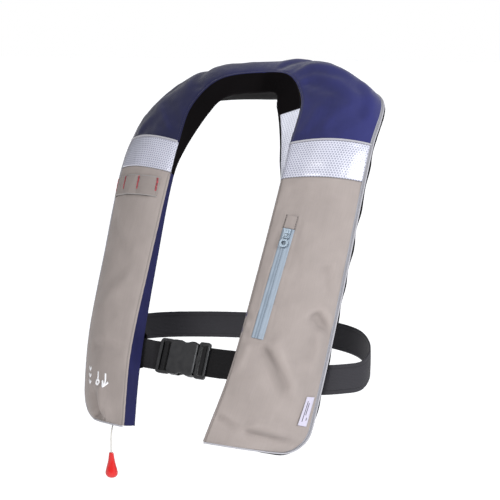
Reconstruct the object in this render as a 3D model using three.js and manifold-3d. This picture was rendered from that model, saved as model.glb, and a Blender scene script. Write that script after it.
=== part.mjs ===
// Inflatable life jacket: a horseshoe collar that holds a folded gas bladder, with a belt and its buckle.
// Millimetres. X points to the wearer's left, Y to the wearer's back, Z up. "Left" and "right" are theirs.
// The origin is where the wearer's nape carries the collar, at the middle of the lining's lower edge.
import * as THREE from "three";
import { mergeVertices } from "three/addons/utils/BufferGeometryUtils.js";
import Module from "manifold-3d";

const wasm = await Module();
wasm.setup();

const vec = (x, y, z) => new THREE.Vector3(x, y, z);
const degrees = THREE.MathUtils.degToRad;
const { lerp, smoothstep } = THREE.MathUtils;

// ---------------------------------------------------------------- driving sizes

const GAP = 0.3; // between touching pieces
const FABRIC = 1.4; // cover cloth with its seam allowance
const PIPING_R = 1.9; // corded outer edge of the cover
const SEAM_PIPING_R = 1.5; // corded seam above each reflective band
const EDGE_WALL = 10; // height of the closure round the outer edge
const CORNER = 36; // radius of each lobe's lower outer corner
const YOKE_TILT = 0.06; // slope of the yoke, which sits higher on the wearer's left
const LOBE_TILT = 0.024; // slope of the lobes, which hang lower on the wearer's left

// The left half of the collar from the lobe's bottom to the nape. inner and outer are the cover's edges,
// wall is the depth of the inner gusset, lean moves its body-side edge outwards, bulge crowns the cover.
const STATIONS = [
  { inner: vec(61, -294, -436), outer: vec(173, -219, -460), wall: 26, lean: 8, bulge: 14 }, // bottom
  { inner: vec(77, -248, -351), outer: vec(185, -184, -358), wall: 26, lean: 8, bulge: 19 }, // belt
  { inner: vec(84, -180, -234), outer: vec(191, -127, -238), wall: 18, lean: 5, bulge: 17 }, // middle
  { inner: vec(88, -109, -112), outer: vec(195, -68, -116), wall: 10, lean: 1, bulge: 15 }, // band, low edge
  { inner: vec(89, -82, -68), outer: vec(195, -38, -72), wall: 12, lean: -8, bulge: 15 }, // band, upper edge
  { inner: vec(88, -40, -12), outer: vec(190, 18, -22), wall: 20, lean: -27, bulge: 18 }, // shoulder
  { inner: vec(58, -10, 23), outer: vec(126, 84, -4), wall: 32, lean: -14, bulge: 26 }, // side of the nape
  { inner: vec(0, 16, 30), outer: vec(0, 110, -6), wall: 34, lean: -5, bulge: 29 }, // nape
];
const BELT_STATION = 1.06;
const BAND = [3, 4]; // the stations of the reflective band's edges
const END = 2 * (STATIONS.length - 1);
const SEAM = 0.003; // half the gap between two panels, in stations

const BLADDER_LAYER = 5; // thickness of the folded bladder in the lower lobes
const INNER_PATCH_END = 4.62; // station where the reflective patch on the left inner wall ends

const BELT = { width: 40, thickness: 1.6, tilt: 27, y: -214, z: -355, rearZ: -351, fall: 0.12 };
const TUNNEL = { from: 0.07, to: 0.44, reach: 0.3, height: 9.5 }; // belt loop on the back panel

const ZIP = { width: 17, thickness: 1.2 }; // pocket zip tape
const ZIP_TOP = { s: 2.55, u: 0.25 }; // upper end of the pocket zip on the left cover
const ZIP_BOTTOM = { s: 1.34, u: 0.185 };

// ---------------------------------------------------------------- the collar's own coordinates
// A point has a station s along the collar, 0 at the left lobe's bottom and END at the right lobe's, and a
// share u across it, 0 at the inner edge and 1 at the outer.

const Y_AXIS = vec(0, 1, 0);
const mirrorPoint = (p) => vec(-p.x, p.y, p.z);

// How the worn collar has settled, a little higher on one side and lower on the other.
function settled(p) {
  const slope = YOKE_TILT * smoothstep(p.z, -120, -10) - LOBE_TILT * smoothstep(-p.z, 150, 400);
  return vec(p.x, p.y, p.z + p.x * slope);
}

const bothHalves = (pick, mirror) => [
  ...STATIONS.map(pick),
  ...STATIONS.slice(0, -1).reverse().map((station) => mirror(pick(station))),
];
const innerEdge = new THREE.CatmullRomCurve3(bothHalves((s) => s.inner, mirrorPoint).map(settled));
const outerEdge = new THREE.CatmullRomCurve3(bothHalves((s) => s.outer, mirrorPoint).map(settled));
const depths = new THREE.CatmullRomCurve3(bothHalves((s) => vec(s.wall, s.lean, s.bulge), (p) => p));

// Share of the full width that is left by the rounded lower outer corner.
const CORNER_STATIONS = CORNER / STATIONS[0].outer.distanceTo(STATIONS[1].outer);
function widthShare(s, fullWidth) {
  const fromEnd = Math.min(s, END - s);
  if (fromEnd >= CORNER_STATIONS) return 1;
  const cut = CORNER / fullWidth;
  return 1 - cut + cut * Math.sqrt(1 - (1 - Math.max(fromEnd, 0) / CORNER_STATIONS) ** 2);
}

// The cross-section at s: its inner corner, its directions across, along and out, and its sizes.
function section(s) {
  const t = THREE.MathUtils.clamp(s / END, 0, 1);
  const inner = innerEdge.getPoint(t);
  const across = outerEdge.getPoint(t).sub(inner);
  const fullWidth = across.length();
  across.normalize();
  const along = innerEdge.getTangent(t).add(outerEdge.getTangent(t));
  along.addScaledVector(across, -along.dot(across)).normalize();
  const out = across.clone().cross(along).normalize();
  const { x: wall, y: lean, z: bulge } = depths.getPoint(t);
  return { inner, across, along, out, width: fullWidth * widthShare(s, fullWidth), wall, lean, bulge };
}

// A point of the front face, sunk by depth under the cloth's outer side.
function front(s, u, depth = 0) {
  const { inner, across, out, width, bulge } = section(s);
  const crown = bulge * Math.max(Math.sin(Math.PI * THREE.MathUtils.clamp(u, 0, 1)), 0) ** 0.85;
  return inner.addScaledVector(across, u * width).addScaledVector(out, crown - depth);
}

// A point of the body-side face, sunk by depth into the collar.
function back(s, u, depth = 0) {
  const { inner, across, out, width, wall, lean } = section(s);
  const fall = lerp(wall, EDGE_WALL, u) + 3 * Math.sin(Math.PI * THREE.MathUtils.clamp(u, 0, 1));
  return inner.addScaledVector(across, lerp(lean, width, u)).addScaledVector(out, depth - fall);
}

const BACK_COLUMNS = [0, 0.25, 0.5, 0.75, 1];

// A point of the inner wall, v from the front cover to the back panel, sunk by depth into the collar.
function innerWall(s, v, depth = 0) {
  const { inner, across, out, wall, lean } = section(s);
  const fall = lerp(FABRIC + GAP, wall - FABRIC - 2 * GAP, v);
  return inner.addScaledVector(across, (lean * fall) / wall + depth).addScaledVector(out, -fall);
}

// A point of the closure strip at the outer edge, v from the front cover to the back panel.
function outerWall(s, v, depth = 0) {
  const { inner, across, out, width } = section(s);
  const fall = lerp(FABRIC + GAP, EDGE_WALL - FABRIC - GAP, v);
  return inner.addScaledVector(across, width - depth).addScaledVector(out, -fall);
}

// A point of the wall that closes a lobe's bottom at station end, u across it and v from front to back.
function bottomWall(end, u, v, depth = 0) {
  const { width, along } = section(end);
  const margin = (FABRIC + 2 * GAP) / width;
  const share = lerp(margin, 1 - margin, u);
  const inset = FABRIC + 3 * GAP;
  const point = front(end, share, inset).lerp(back(end, share, inset), v);
  return point.addScaledVector(along, end === 0 ? depth : -depth);
}

// The folded bladder's front: a thin layer in the lower lobes, filling the collar above them.
const BLADDER_BACK = FABRIC + 3 * GAP;
function bladderFront(s, u, lift = 0) {
  const thin = back(s, u, BLADDER_BACK + BLADDER_LAYER + lift);
  const full = front(s, u, FABRIC + 3 - lift);
  return thin.lerp(full, smoothstep(Math.min(s, END - s), 2.65, 3.2));
}

// A frame in a lobe, seated on the folded bladder at station s and aimed up the lobe at station aim: x to the
// wearer's left, y up along the lobe, z out of the front. Stations here count up from the lobe's own bottom.
function lobeFrame(s, aim, u, side) {
  const station = (k) => (side === "left" ? k : END - k);
  const chord = (k) => bladderFront(station(k), u);
  const up = chord(aim).sub(chord(s)).normalize();
  const [from, to] = side === "left" ? [u - 0.09, u + 0.09] : [u + 0.09, u - 0.09];
  const x = bladderFront(station(s), to).sub(bladderFront(station(s), from));
  x.addScaledVector(up, -x.dot(up)).normalize();
  return new THREE.Matrix4().makeBasis(x, up, x.clone().cross(up)).setPosition(chord(s));
}

// ---------------------------------------------------------------- making solids

const range = (from, to, steps) => Array.from({ length: steps + 1 }, (_, i) => lerp(from, to, i / steps));

// The stations where every panel has a row of points, so that neighbouring panels bend alike.
const cornerRows = range(0, 90, 5).map((angle) => CORNER_STATIONS * (1 - Math.cos(degrees(angle))));
const LEFT_ROWS = [...cornerRows, 0.65, 1, 1.5, 2, 2.5, 3, 3.5, ...range(4, 6.7, 9)];
const ROWS = [...LEFT_ROWS, 7, ...LEFT_ROWS.slice().reverse().map((s) => END - s)];
const COLUMNS = [0, 0.03, 0.1, 0.2, 0.35, 0.5, 0.65, 0.8, 0.9, 0.97, 1];
const rowsBetween = (from, to) => [from, ...ROWS.filter((s) => s > from + 0.02 && s < to - 0.02), to];
const onSide = (side, rows) => (side === "left" ? rows : rows.map((s) => END - s));
const SIDES = ["left", "right"];

// A closed slab between two faces, each a function of (s, u).
function slab(top, bottom, rows, columns) {
  const positions = [];
  const index = [];
  const at = (side, i, j) => (side * rows.length + i) * columns.length + j;
  for (const face of [top, bottom])
    for (const s of rows) for (const u of columns) positions.push(...face(s, u).toArray());
  const quad = (a, b, c, d) => index.push(a, b, c, a, c, d);
  const [lastRow, lastColumn] = [rows.length - 1, columns.length - 1];
  for (let i = 0; i < lastRow; i++)
    for (let j = 0; j < lastColumn; j++) {
      quad(at(0, i, j), at(0, i, j + 1), at(0, i + 1, j + 1), at(0, i + 1, j));
      quad(at(1, i, j), at(1, i + 1, j), at(1, i + 1, j + 1), at(1, i, j + 1));
    }
  for (let i = 0; i < lastRow; i++) {
    quad(at(0, i, 0), at(0, i + 1, 0), at(1, i + 1, 0), at(1, i, 0));
    quad(at(0, i, lastColumn), at(1, i, lastColumn), at(1, i + 1, lastColumn), at(0, i + 1, lastColumn));
  }
  for (let j = 0; j < lastColumn; j++) {
    quad(at(0, 0, j), at(1, 0, j), at(1, 0, j + 1), at(0, 0, j + 1));
    quad(at(0, lastRow, j), at(0, lastRow, j + 1), at(1, lastRow, j + 1), at(1, lastRow, j));
  }
  return facingOut(indexed(positions, index));
}

function indexed(positions, index) {
  const geometry = new THREE.BufferGeometry();
  geometry.setAttribute("position", new THREE.Float32BufferAttribute(positions, 3));
  geometry.setIndex(index);
  return geometry;
}

// The same closed geometry, turned inside out if its faces pointed inwards.
function facingOut(geometry) {
  const p = geometry.getAttribute("position");
  const index = geometry.getIndex().array;
  const corner = (i) => vec(0, 0, 0).fromBufferAttribute(p, index[i]);
  let volume = 0;
  for (let i = 0; i < index.length; i += 3) volume += corner(i).dot(corner(i + 1).cross(corner(i + 2)));
  if (volume >= 0) return geometry;
  for (let i = 0; i < index.length; i += 3) [index[i], index[i + 1]] = [index[i + 1], index[i]];
  return geometry;
}

// One layer of cloth on a face, from depth to depth + thickness.
function layer(face, depth, thickness, rows, columns) {
  return slab((s, u) => face(s, u, depth), (s, u) => face(s, u, depth + thickness), rows, columns);
}

function merged(geometry) {
  const bare = geometry.clone();
  for (const name of ["normal", "uv"]) bare.deleteAttribute(name);
  return mergeVertices(bare, 1e-4);
}

function toSolid(geometry) {
  const bare = merged(geometry);
  const vertProperties = new Float32Array(bare.getAttribute("position").array);
  const triVerts = new Uint32Array(bare.getIndex().array);
  return new wasm.Manifold(new wasm.Mesh({ numProp: 3, vertProperties, triVerts }));
}

function fromSolid(solid) {
  const { vertProperties, triVerts } = solid.getMesh();
  return indexed(Array.from(vertProperties), Array.from(triVerts));
}

function cut(geometry, ...tools) {
  return fromSolid(tools.reduce((left, tool) => left.subtract(toSolid(tool)), toSolid(geometry)));
}

function join(geometry, ...more) {
  return fromSolid(more.reduce((whole, piece) => whole.add(toSolid(piece)), toSolid(geometry)));
}

// A box between two corners.
function block([x0, y0, z0], [x1, y1, z1]) {
  const geometry = new THREE.BoxGeometry(x1 - x0, y1 - y0, z1 - z0);
  return geometry.translate((x0 + x1) / 2, (y0 + y1) / 2, (z0 + z1) / 2);
}

// A cylinder along an axis, from one height to another, at the given place in the other two directions.
function rod(axis, radius, from, to, [p, q], sides = 20) {
  const geometry = new THREE.CylinderGeometry(radius, radius, to - from, sides);
  if (axis === "x") return geometry.rotateZ(Math.PI / 2).translate((from + to) / 2, p, q);
  if (axis === "y") return geometry.translate(p, (from + to) / 2, q);
  return geometry.rotateX(Math.PI / 2).translate(p, q, (from + to) / 2);
}

// A flat plate with a rounded outline in x and z, thick in y.
function plate(halfLength, halfHeight, radius, y0, y1, bevel = 0) {
  const [l, h] = [halfLength - bevel, halfHeight - bevel];
  const r = Math.max(radius - bevel, 0.1);
  const shape = new THREE.Shape();
  shape.moveTo(-l + r, -h);
  shape.lineTo(l - r, -h);
  shape.absarc(l - r, -h + r, r, -Math.PI / 2, 0);
  shape.absarc(l - r, h - r, r, 0, Math.PI / 2);
  shape.absarc(-l + r, h - r, r, Math.PI / 2, Math.PI);
  shape.absarc(-l + r, -h + r, r, Math.PI, Math.PI * 1.5);
  return prism(shape, y0, y1, bevel, 4);
}

// A shape drawn in x and z, thick in y.
function prism(shape, y0, y1, bevel = 0, curveSegments = 8) {
  const options = { depth: y1 - y0 - 2 * bevel, curveSegments, bevelEnabled: bevel > 0 };
  Object.assign(options, { bevelSize: bevel, bevelThickness: bevel, bevelSegments: 1 });
  const geometry = new THREE.ExtrudeGeometry(shape, options);
  return geometry.rotateX(Math.PI / 2).translate(0, y1 - bevel, 0);
}

// A round tube or cord along a curve.
function tube(curve, radius, sides, steps) {
  const shape = new THREE.Shape().absarc(0, 0, radius, 0, 2 * Math.PI);
  const curveSegments = sides / 2;
  return new THREE.ExtrudeGeometry(shape, { steps, curveSegments, bevelEnabled: false, extrudePath: curve });
}

// A closed turned solid about y from a list of [radius, height] corners.
function turned(corners, segments = 20) {
  return new THREE.LatheGeometry(corners.map(([r, h]) => new THREE.Vector2(r, h)), segments);
}

// A flat strap along a path of stops, each a point and the direction of the strap's width.
function strap(stops, steps, depth = 0) {
  const path = new THREE.CatmullRomCurve3(stops.map(({ point }) => point), false, "centripetal");
  const widths = new THREE.CatmullRomCurve3(stops.map(({ up }) => up));
  const half = BELT.thickness / 2;
  const face = (side) => (t, v) => {
    const position = path.getPoint(t);
    const up = widths.getPoint(t).normalize();
    const normal = path.getTangent(t).cross(up).normalize();
    return position.addScaledVector(up, (v - 0.5) * BELT.width).addScaledVector(normal, depth + side * half);
  };
  return slab(face(1), face(-1), range(0, 1, steps), [0, 0.5, 1]);
}

// ---------------------------------------------------------------- materials and nodes

const FINISH = {
  greyFabric: { color: 0x9b928b, roughness: 0.85, metalness: 0 },
  navyFabric: { color: 0x25265c, roughness: 0.8, metalness: 0 },
  blackFabric: { color: 0x1d1c20, roughness: 0.9, metalness: 0 },
  reflective: { color: 0xd9dce6, roughness: 0.35, metalness: 0.1 },
  piping: { color: 0xa9a9ad, roughness: 0.7, metalness: 0 },
  webbing: { color: 0x35353a, roughness: 0.85, metalness: 0 },
  blackPlastic: { color: 0x1a1a1c, roughness: 0.45, metalness: 0 },
  zipTape: { color: 0x9fb0bf, roughness: 0.5, metalness: 0 },
  steel: { color: 0xb9bdc2, roughness: 0.3, metalness: 1 },
  redPlastic: { color: 0xd8141a, roughness: 0.25, metalness: 0 },
  greenPlastic: { color: 0x2fa04a, roughness: 0.5, metalness: 0 },
  cord: { color: 0xcfcac0, roughness: 0.8, metalness: 0 },
  label: { color: 0xf1f1f1, roughness: 0.7, metalness: 0 },
  bladder: { color: 0xe6d326, roughness: 0.6, metalness: 0 },
  rubber: { color: 0x222222, roughness: 0.75, metalness: 0 },
};

const root = new THREE.Group();
function add(name, finish, geometry, parent = root) {
  const mesh = new THREE.Mesh(geometry, new THREE.MeshStandardMaterial(finish));
  mesh.name = name;
  parent.add(mesh);
  return mesh;
}

// ---------------------------------------------------------------- cover panels

function zipLine() {
  const [top, bottom] = [ZIP_TOP, ZIP_BOTTOM].map(({ s, u }) => front(s, u));
  const along = top.clone().sub(bottom).normalize();
  const s = (ZIP_TOP.s + ZIP_BOTTOM.s) / 2;
  const u = (ZIP_TOP.u + ZIP_BOTTOM.u) / 2;
  const out = front(s, u + 0.05).sub(front(s, u - 0.05)).cross(along).normalize();
  const frame = new THREE.Matrix4().makeBasis(along.clone().cross(out), along, out);
  return { frame: frame.setPosition(top), length: top.distanceTo(bottom) };
}

function frontCovers() {
  const cover = (side) => layer(front, 0, FABRIC, onSide(side, rowsBetween(0, BAND[0] - SEAM)), COLUMNS);
  const { frame, length } = zipLine();
  const half = ZIP.width / 2 + GAP;
  const slot = block([-half, -length - GAP, -6], [half, GAP, 6]).applyMatrix4(frame);
  add("front_cover_left", FINISH.greyFabric, cut(cover("left"), slot));
  add("front_cover_right", FINISH.greyFabric, cover("right"));
}

function bands() {
  for (const side of SIDES) {
    const rows = onSide(side, rowsBetween(BAND[0] + SEAM, BAND[1] - 2 * SEAM));
    add(`reflective_band_${side}`, FINISH.reflective, layer(front, 0, FABRIC, rows, COLUMNS));
    const [station] = onSide(side, [BAND[1]]);
    const seam = range(0.01, 0.99, 12).map((u) => front(station, u, -SEAM_PIPING_R - GAP));
    const piping = tube(new THREE.CatmullRomCurve3(seam), SEAM_PIPING_R, 6, 14);
    add(`band_piping_${side}`, FINISH.piping, piping);
  }
}

function walls() {
  const wall = (from, to) => layer(innerWall, 0, FABRIC, rowsBetween(from + SEAM, to - SEAM), [0, 1]);
  const yokeRows = rowsBetween(BAND[1] + 2 * SEAM, END - BAND[1] - 2 * SEAM);
  add("yoke_cover", FINISH.navyFabric, layer(front, 0, FABRIC, yokeRows, COLUMNS));
  add("inner_gusset_left", FINISH.navyFabric, wall(0, BAND[0]));
  add("inner_gusset_right", FINISH.navyFabric, wall(END - BAND[0], END));
  add("inner_reflective_patch", FINISH.reflective, wall(BAND[0], INNER_PATCH_END));
  add("collar_lining", FINISH.blackFabric, wall(INNER_PATCH_END, END - BAND[0]));
  add("back_panel", FINISH.blackFabric, layer(back, 0, FABRIC, ROWS, BACK_COLUMNS));
  add("edge_closure", FINISH.blackFabric, layer(outerWall, 0, FABRIC, ROWS, [0, 1]));
}

// The corded edge: along each lobe's bottom, round its corner, up its outer side and over the nape.
function edgePiping() {
  const reach = PIPING_R + 2 * GAP;
  const beside = (s) => {
    const { out } = section(s);
    const step = s < CORNER_STATIONS || s > END - CORNER_STATIONS ? 0.004 : 0.01;
    const tangent = front(Math.min(s + step, END), 1).sub(front(Math.max(s - step, 0), 1)).normalize();
    const outwards = tangent.cross(out).normalize();
    const away = front(s, 1).sub(front(THREE.MathUtils.clamp(s, 0.5, END - 0.5), 0.5)).dot(outwards);
    return front(s, 1)
      .addScaledVector(outwards, away < 0 ? -reach : reach)
      .addScaledVector(out, -FABRIC / 2);
  };
  const below = (end, u) => {
    const { along, out } = section(end);
    return front(end, u).addScaledVector(along, end === 0 ? -reach : reach).addScaledVector(out, -FABRIC / 2);
  };
  const bottom = range(0.02, 0.9, 5);
  const cornerAngles = range(14, 90, 4);
  const side = [...cornerAngles.map((angle) => CORNER_STATIONS * (1 - Math.cos(degrees(angle)))), 0.7, 1.1];
  const upper = range(1.6, 6.6, 12);
  const half = (end) => {
    const station = (s) => (end === 0 ? s : END - s);
    return [...bottom.map((u) => below(end, u)), ...[...side, ...upper].map((s) => beside(station(s)))];
  };
  const stops = [...half(0), beside(END / 2), ...half(END).reverse()];
  const path = new THREE.CatmullRomCurve3(stops, false, "centripetal");
  add("edge_piping", FINISH.piping, tube(path, PIPING_R, 6, 124));
}

// Where the pull cord, straight down from the lever's tip, meets the bottom of the right lobe.
function cordRun() {
  const frame = lobeFrame(INFLATOR.s, INFLATOR.aim, INFLATOR.u, "right");
  const tip = leverTip();
  const start = vec(tip.x, tip.y - 5.4, AXIS.z).applyMatrix4(frame);
  const down = vec(0, -1, 0).transformDirection(frame);
  const { inner, along } = section(END);
  const run = inner.sub(start).dot(along) / down.dot(along);
  return { start, down, hole: start.clone().addScaledVector(down, run) };
}

function bottomWalls() {
  const wall = (end) => layer((u, v, depth) => bottomWall(end, u, v, depth), 0, FABRIC, COLUMNS, [0, 0.5, 1]);
  add("bottom_wall_left", FINISH.navyFabric, wall(0));
  const drill = rod("y", CORD_HOLE_R, -12, 12, [0, 0], 10);
  const { down, hole } = cordRun();
  drill.applyQuaternion(new THREE.Quaternion().setFromUnitVectors(Y_AXIS, down)).translate(...hole.toArray());
  add("bottom_wall_right", FINISH.navyFabric, cut(wall(END), drill));
}

// ---------------------------------------------------------------- trims on the cover

const STRIP = { thickness: 1.6, from: 0.1, to: 0.97, height: 0.21, upper: 2.9, slant: 0.06 };
const LABEL = { thickness: 0.5, s: [0.36, 0.69], u: [0.87, 0.965] };
function trims() {
  const strip = (u, v, depth) => {
    const s = STRIP.upper - STRIP.slant * u - STRIP.height * v;
    return front(END - s, u, -2 * GAP - depth);
  };
  const across = range(STRIP.from, STRIP.to, 12);
  add("accessory_strip", FINISH.webbing, layer(strip, 0, STRIP.thickness, across, [0, 0.5, 1]));
  const label = (s, u, depth) => front(s, u, -GAP - depth);
  const rows = range(...LABEL.s, 4);
  add("side_label", FINISH.label, layer(label, 0, LABEL.thickness, rows, range(...LABEL.u, 2)));
}

// ---------------------------------------------------------------- pocket

const SLIDER = { length: 13, width: 9.5, height: 4.5, fromTop: 26 };
function pocket() {
  const { frame, length } = zipLine();
  const group = new THREE.Group();
  group.applyMatrix4(frame);
  root.add(group);
  const half = ZIP.width / 2;
  const tapeTop = 1.1;
  const tape = block([-half, -length, tapeTop - ZIP.thickness], [half, 0, tapeTop]);
  add("pocket_zip_tape", FINISH.zipTape, tape, group);
  const [w, top] = [SLIDER.width / 2, tapeTop + GAP + SLIDER.height];
  const low = tapeTop + GAP;
  const middle = -SLIDER.fromTop;
  const body = block([-w, middle - SLIDER.length / 2, low], [w, middle + SLIDER.length / 2, low + 2.4]);
  const bridge = block([-2, middle - 4.5, low + 2.2], [2, middle + 4.5, top]);
  const eye = rod("x", 1.3, -4, 4, [middle - 1, low + 3.3], 10);
  add("zip_slider", FINISH.steel, cut(join(body, bridge), eye), group);
  add("zip_pull", FINISH.steel, zipPull(middle - 1, low + 3.3), group);
  const bag = layer(front, FABRIC + 0.9, 2.2, rowsBetween(1, 2.6), [0.1, 0.2, 0.35, 0.5, 0.65]);
  add("pocket_bag", FINISH.blackFabric, bag);
}

// The ring that moves the slider: a pin through the slider's eye, two cheeks and a round ring below them.
function zipPull(y, z) {
  const pin = rod("x", 0.9, -3.2, 3.2, [y, z], 10);
  const sides = [-1, 1].map((side) => {
    const [x0, x1] = [side * 2.35, side * 3.3].sort((a, b) => a - b);
    return block([x0, y - 9, z - 0.8], [x1, y + 0.9, z + 0.8]);
  });
  const middle = [0, y - 13.5];
  const ring = cut(rod("z", 6, z - 0.8, z + 0.8, middle, 20), rod("z", 3.3, z - 2, z + 2, middle, 16));
  return join(ring, pin, ...sides);
}

// ---------------------------------------------------------------- bladder and what it carries

function bladder() {
  const rows = rowsBetween(0.06, END - 0.06);
  const columns = [0.07, ...BACK_COLUMNS.slice(1, -1), 0.93];
  add("bladder", FINISH.bladder, slab(bladderFront, (s, u) => back(s, u, BLADDER_BACK), rows, columns));
  const lying = (s, u, depth) => bladderFront(s, u, 3 * GAP + depth);
  add("lifting_becket", FINISH.webbing, layer(lying, 0, BELT.thickness, [1.5, 2, 2.3], [0.12, 0.3]));
}

const ORAL = { s: 0.95, aim: 2, u: 0.62, tubeR: 5.6, boreR: 4, length: 84, rise: 8 };
function oralTube() {
  const group = new THREE.Group();
  group.applyMatrix4(lobeFrame(ORAL.s, ORAL.aim, ORAL.u, "left"));
  root.add(group);
  const flange = 0.8;
  const axis = flange + ORAL.rise;
  const disc = rod("z", 11, flange, flange + 1.8, [0, 0], 20);
  const riser = rod("z", ORAL.tubeR, flange, axis, [0, 0], 16);
  const elbow = join(disc, riser, rod("y", ORAL.tubeR, -6, 14, [0, axis], 16));
  const way = join(rod("z", 3, flange - 2, axis, [0, 0], 12), rod("y", 3, -2, 20, [0, axis], 12));
  add("oral_tube_flange", FINISH.bladder, cut(elbow, way), group);
  const end = 14 + GAP + ORAL.length;
  const bore = rod("y", ORAL.boreR, 0, 2 * end, [0, axis], 12);
  const hose = cut(rod("y", ORAL.tubeR, 14 + GAP, end, [0, axis], 16), bore);
  add("oral_tube", FINISH.rubber, hose, group);
  const mouth = end + GAP;
  const shell = [[3, 0], [7, 0], [7, 6], [6, 8], [6, 24], [4.6, 24], [4.6, 12], [3, 10], [3, 0]];
  const lift = (geometry) => geometry.translate(0, mouth, axis);
  add("oral_valve_body", FINISH.redPlastic, lift(facingOut(merged(turned(shell, 16)))), group);
  const poppet = [[0, 15.3], [4.2, 15.3], [4.2, 17.3], [1.6, 17.3], [1.6, 23.8], [0, 23.8]];
  add("oral_valve_poppet", FINISH.blackPlastic, lift(facingOut(merged(turned(poppet, 14)))), group);
  const cap = [[0, 26], [7.6, 26], [7.6, 9], [6.3, 9], [6.3, 24.4], [0, 24.4]];
  add("oral_dust_cap", FINISH.rubber, lift(facingOut(merged(turned(cap, 16)))), group);
  const chamber = block([-32, 34, axis - 3.5], [-24, 80, axis + 2.5]);
  const whistle = cut(block([-34, 30, axis - 5], [-22, 72, axis + 4]), chamber);
  add("whistle", FINISH.redPlastic, whistle, group);
  const cordPath = new THREE.CatmullRomCurve3([
    vec(-28, 29.4, axis),
    vec(-28, 20, axis),
    vec(-20, 12, axis - 1),
    vec(-12, 16, axis),
    vec(-ORAL.tubeR - 1.4, 24, axis),
  ]);
  add("whistle_lanyard", FINISH.cord, tube(cordPath, 1, 6, 16), group);
}

// ---------------------------------------------------------------- gas inflator

const INFLATOR = { s: 0.66, aim: 1.8, u: 0.43 };
const AXIS = { x: -3, z: 13.2 }; // the gas cylinder's and firing pin's line
const CYLINDER = { radius: 11, length: 132, neck: 7 };
const BODY = { x0: -18, x1: 15, y0: -24, y1: 24, z0: 3, z1: 22.4 };
const SENSOR = { y: 5, boss: 6.9, bore: 5, cap: 8.9 };
const PIVOT = { x: 3, y: -12 };
const LEVER = { arm: 32, rest: 40, thickness: 5, hub: 7 };
const STEM = { x: -11.5, y: -14, radius: 4.4 };
const CORD_R = 1.2;
const CORD_HOLE_R = 3.2;

function inflator() {
  const group = new THREE.Group();
  group.applyMatrix4(lobeFrame(INFLATOR.s, INFLATOR.aim, INFLATOR.u, "right"));
  root.add(group);
  add("inflator_body", FINISH.blackPlastic, inflatorBody(), group);
  gasCylinder(group);
  lever(group);
  waterSensor(group);
  const flange = join(
    rod("z", 13, BODY.z0 - GAP - 1.8, BODY.z0 - GAP, [STEM.x, STEM.y], 20),
    rod("z", STEM.radius, BODY.z0 - GAP - 1, BODY.z1 + 2.6, [STEM.x, STEM.y], 14),
  );
  add("manifold_stem", FINISH.rubber, flange, group);
  const nut = cut(
    rod("z", 6.6, BODY.z1 + GAP, BODY.z1 + 3.4, [STEM.x, STEM.y], 6),
    rod("z", STEM.radius + 0.15, BODY.z1, BODY.z1 + 5, [STEM.x, STEM.y], 14),
  );
  add("stem_nut", FINISH.steel, nut, group);
  const clip = block([6, 2, BODY.z1 + GAP], [12, 13, BODY.z1 + 1.8]);
  add("indicator_clip", FINISH.greenPlastic, clip, group);
}

function inflatorBody() {
  const { x0, x1, y0, y1, z0, z1 } = BODY;
  const shell = join(
    plate((x1 - x0) / 2, (z1 - z0) / 2, 6, y0, y1, 0).translate((x0 + x1) / 2, 0, (z0 + z1) / 2),
    rod("x", SENSOR.boss, x0 - 6, x0 + 4, [SENSOR.y, AXIS.z], 18),
  );
  const half = LEVER.thickness / 2 + 0.4;
  return cut(
    shell,
    block([PIVOT.x - LEVER.hub - 1, y0 - 2, AXIS.z - half], [x1 + 2, PIVOT.y + LEVER.hub + 1, AXIS.z + half]),
    block([3.2, PIVOT.y, AXIS.z - half], [x1 + 2, 18, AXIS.z + half]),
    rod("z", 1.85, z0 - 2, z1 + 2, [PIVOT.x, PIVOT.y], 14),
    rod("z", STEM.radius + GAP, z0 - 2, z1 + 2, [STEM.x, STEM.y], 14),
    rod("y", 3.0, PIVOT.y, y1 + 2, [AXIS.x, AXIS.z], 14),
    rod("y", 5.4, 2, y1 + 2, [AXIS.x, AXIS.z], 16),
    rod("y", CYLINDER.neck + GAP, 15, y1 + 2, [AXIS.x, AXIS.z], 18),
    rod("x", SENSOR.bore, x0 - 8, x0 + 3, [SENSOR.y, AXIS.z], 16),
  );
}

function gasCylinder(group) {
  const { radius, length, neck } = CYLINDER;
  const start = 17;
  const shoulder = BODY.y1 + 4;
  const profile = [
    [0, start],
    [neck, start],
    [neck, shoulder],
    [radius * 0.8, shoulder + 5],
    [radius, shoulder + 12],
    [radius, start + length - 8],
    [radius * 0.75, start + length - 2],
    [0, start + length],
  ];
  const bottle = facingOut(merged(turned(profile, 20))).translate(AXIS.x, 0, AXIS.z);
  add("gas_cylinder", FINISH.steel, bottle, group);
  const hole = rod("y", 3, 14, 18, [AXIS.x, AXIS.z], 12);
  const seal = cut(rod("y", 6.8, 15.3, 16.7, [AXIS.x, AXIS.z], 16), hole);
  add("cylinder_seal", FINISH.rubber, seal, group);
}

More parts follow.
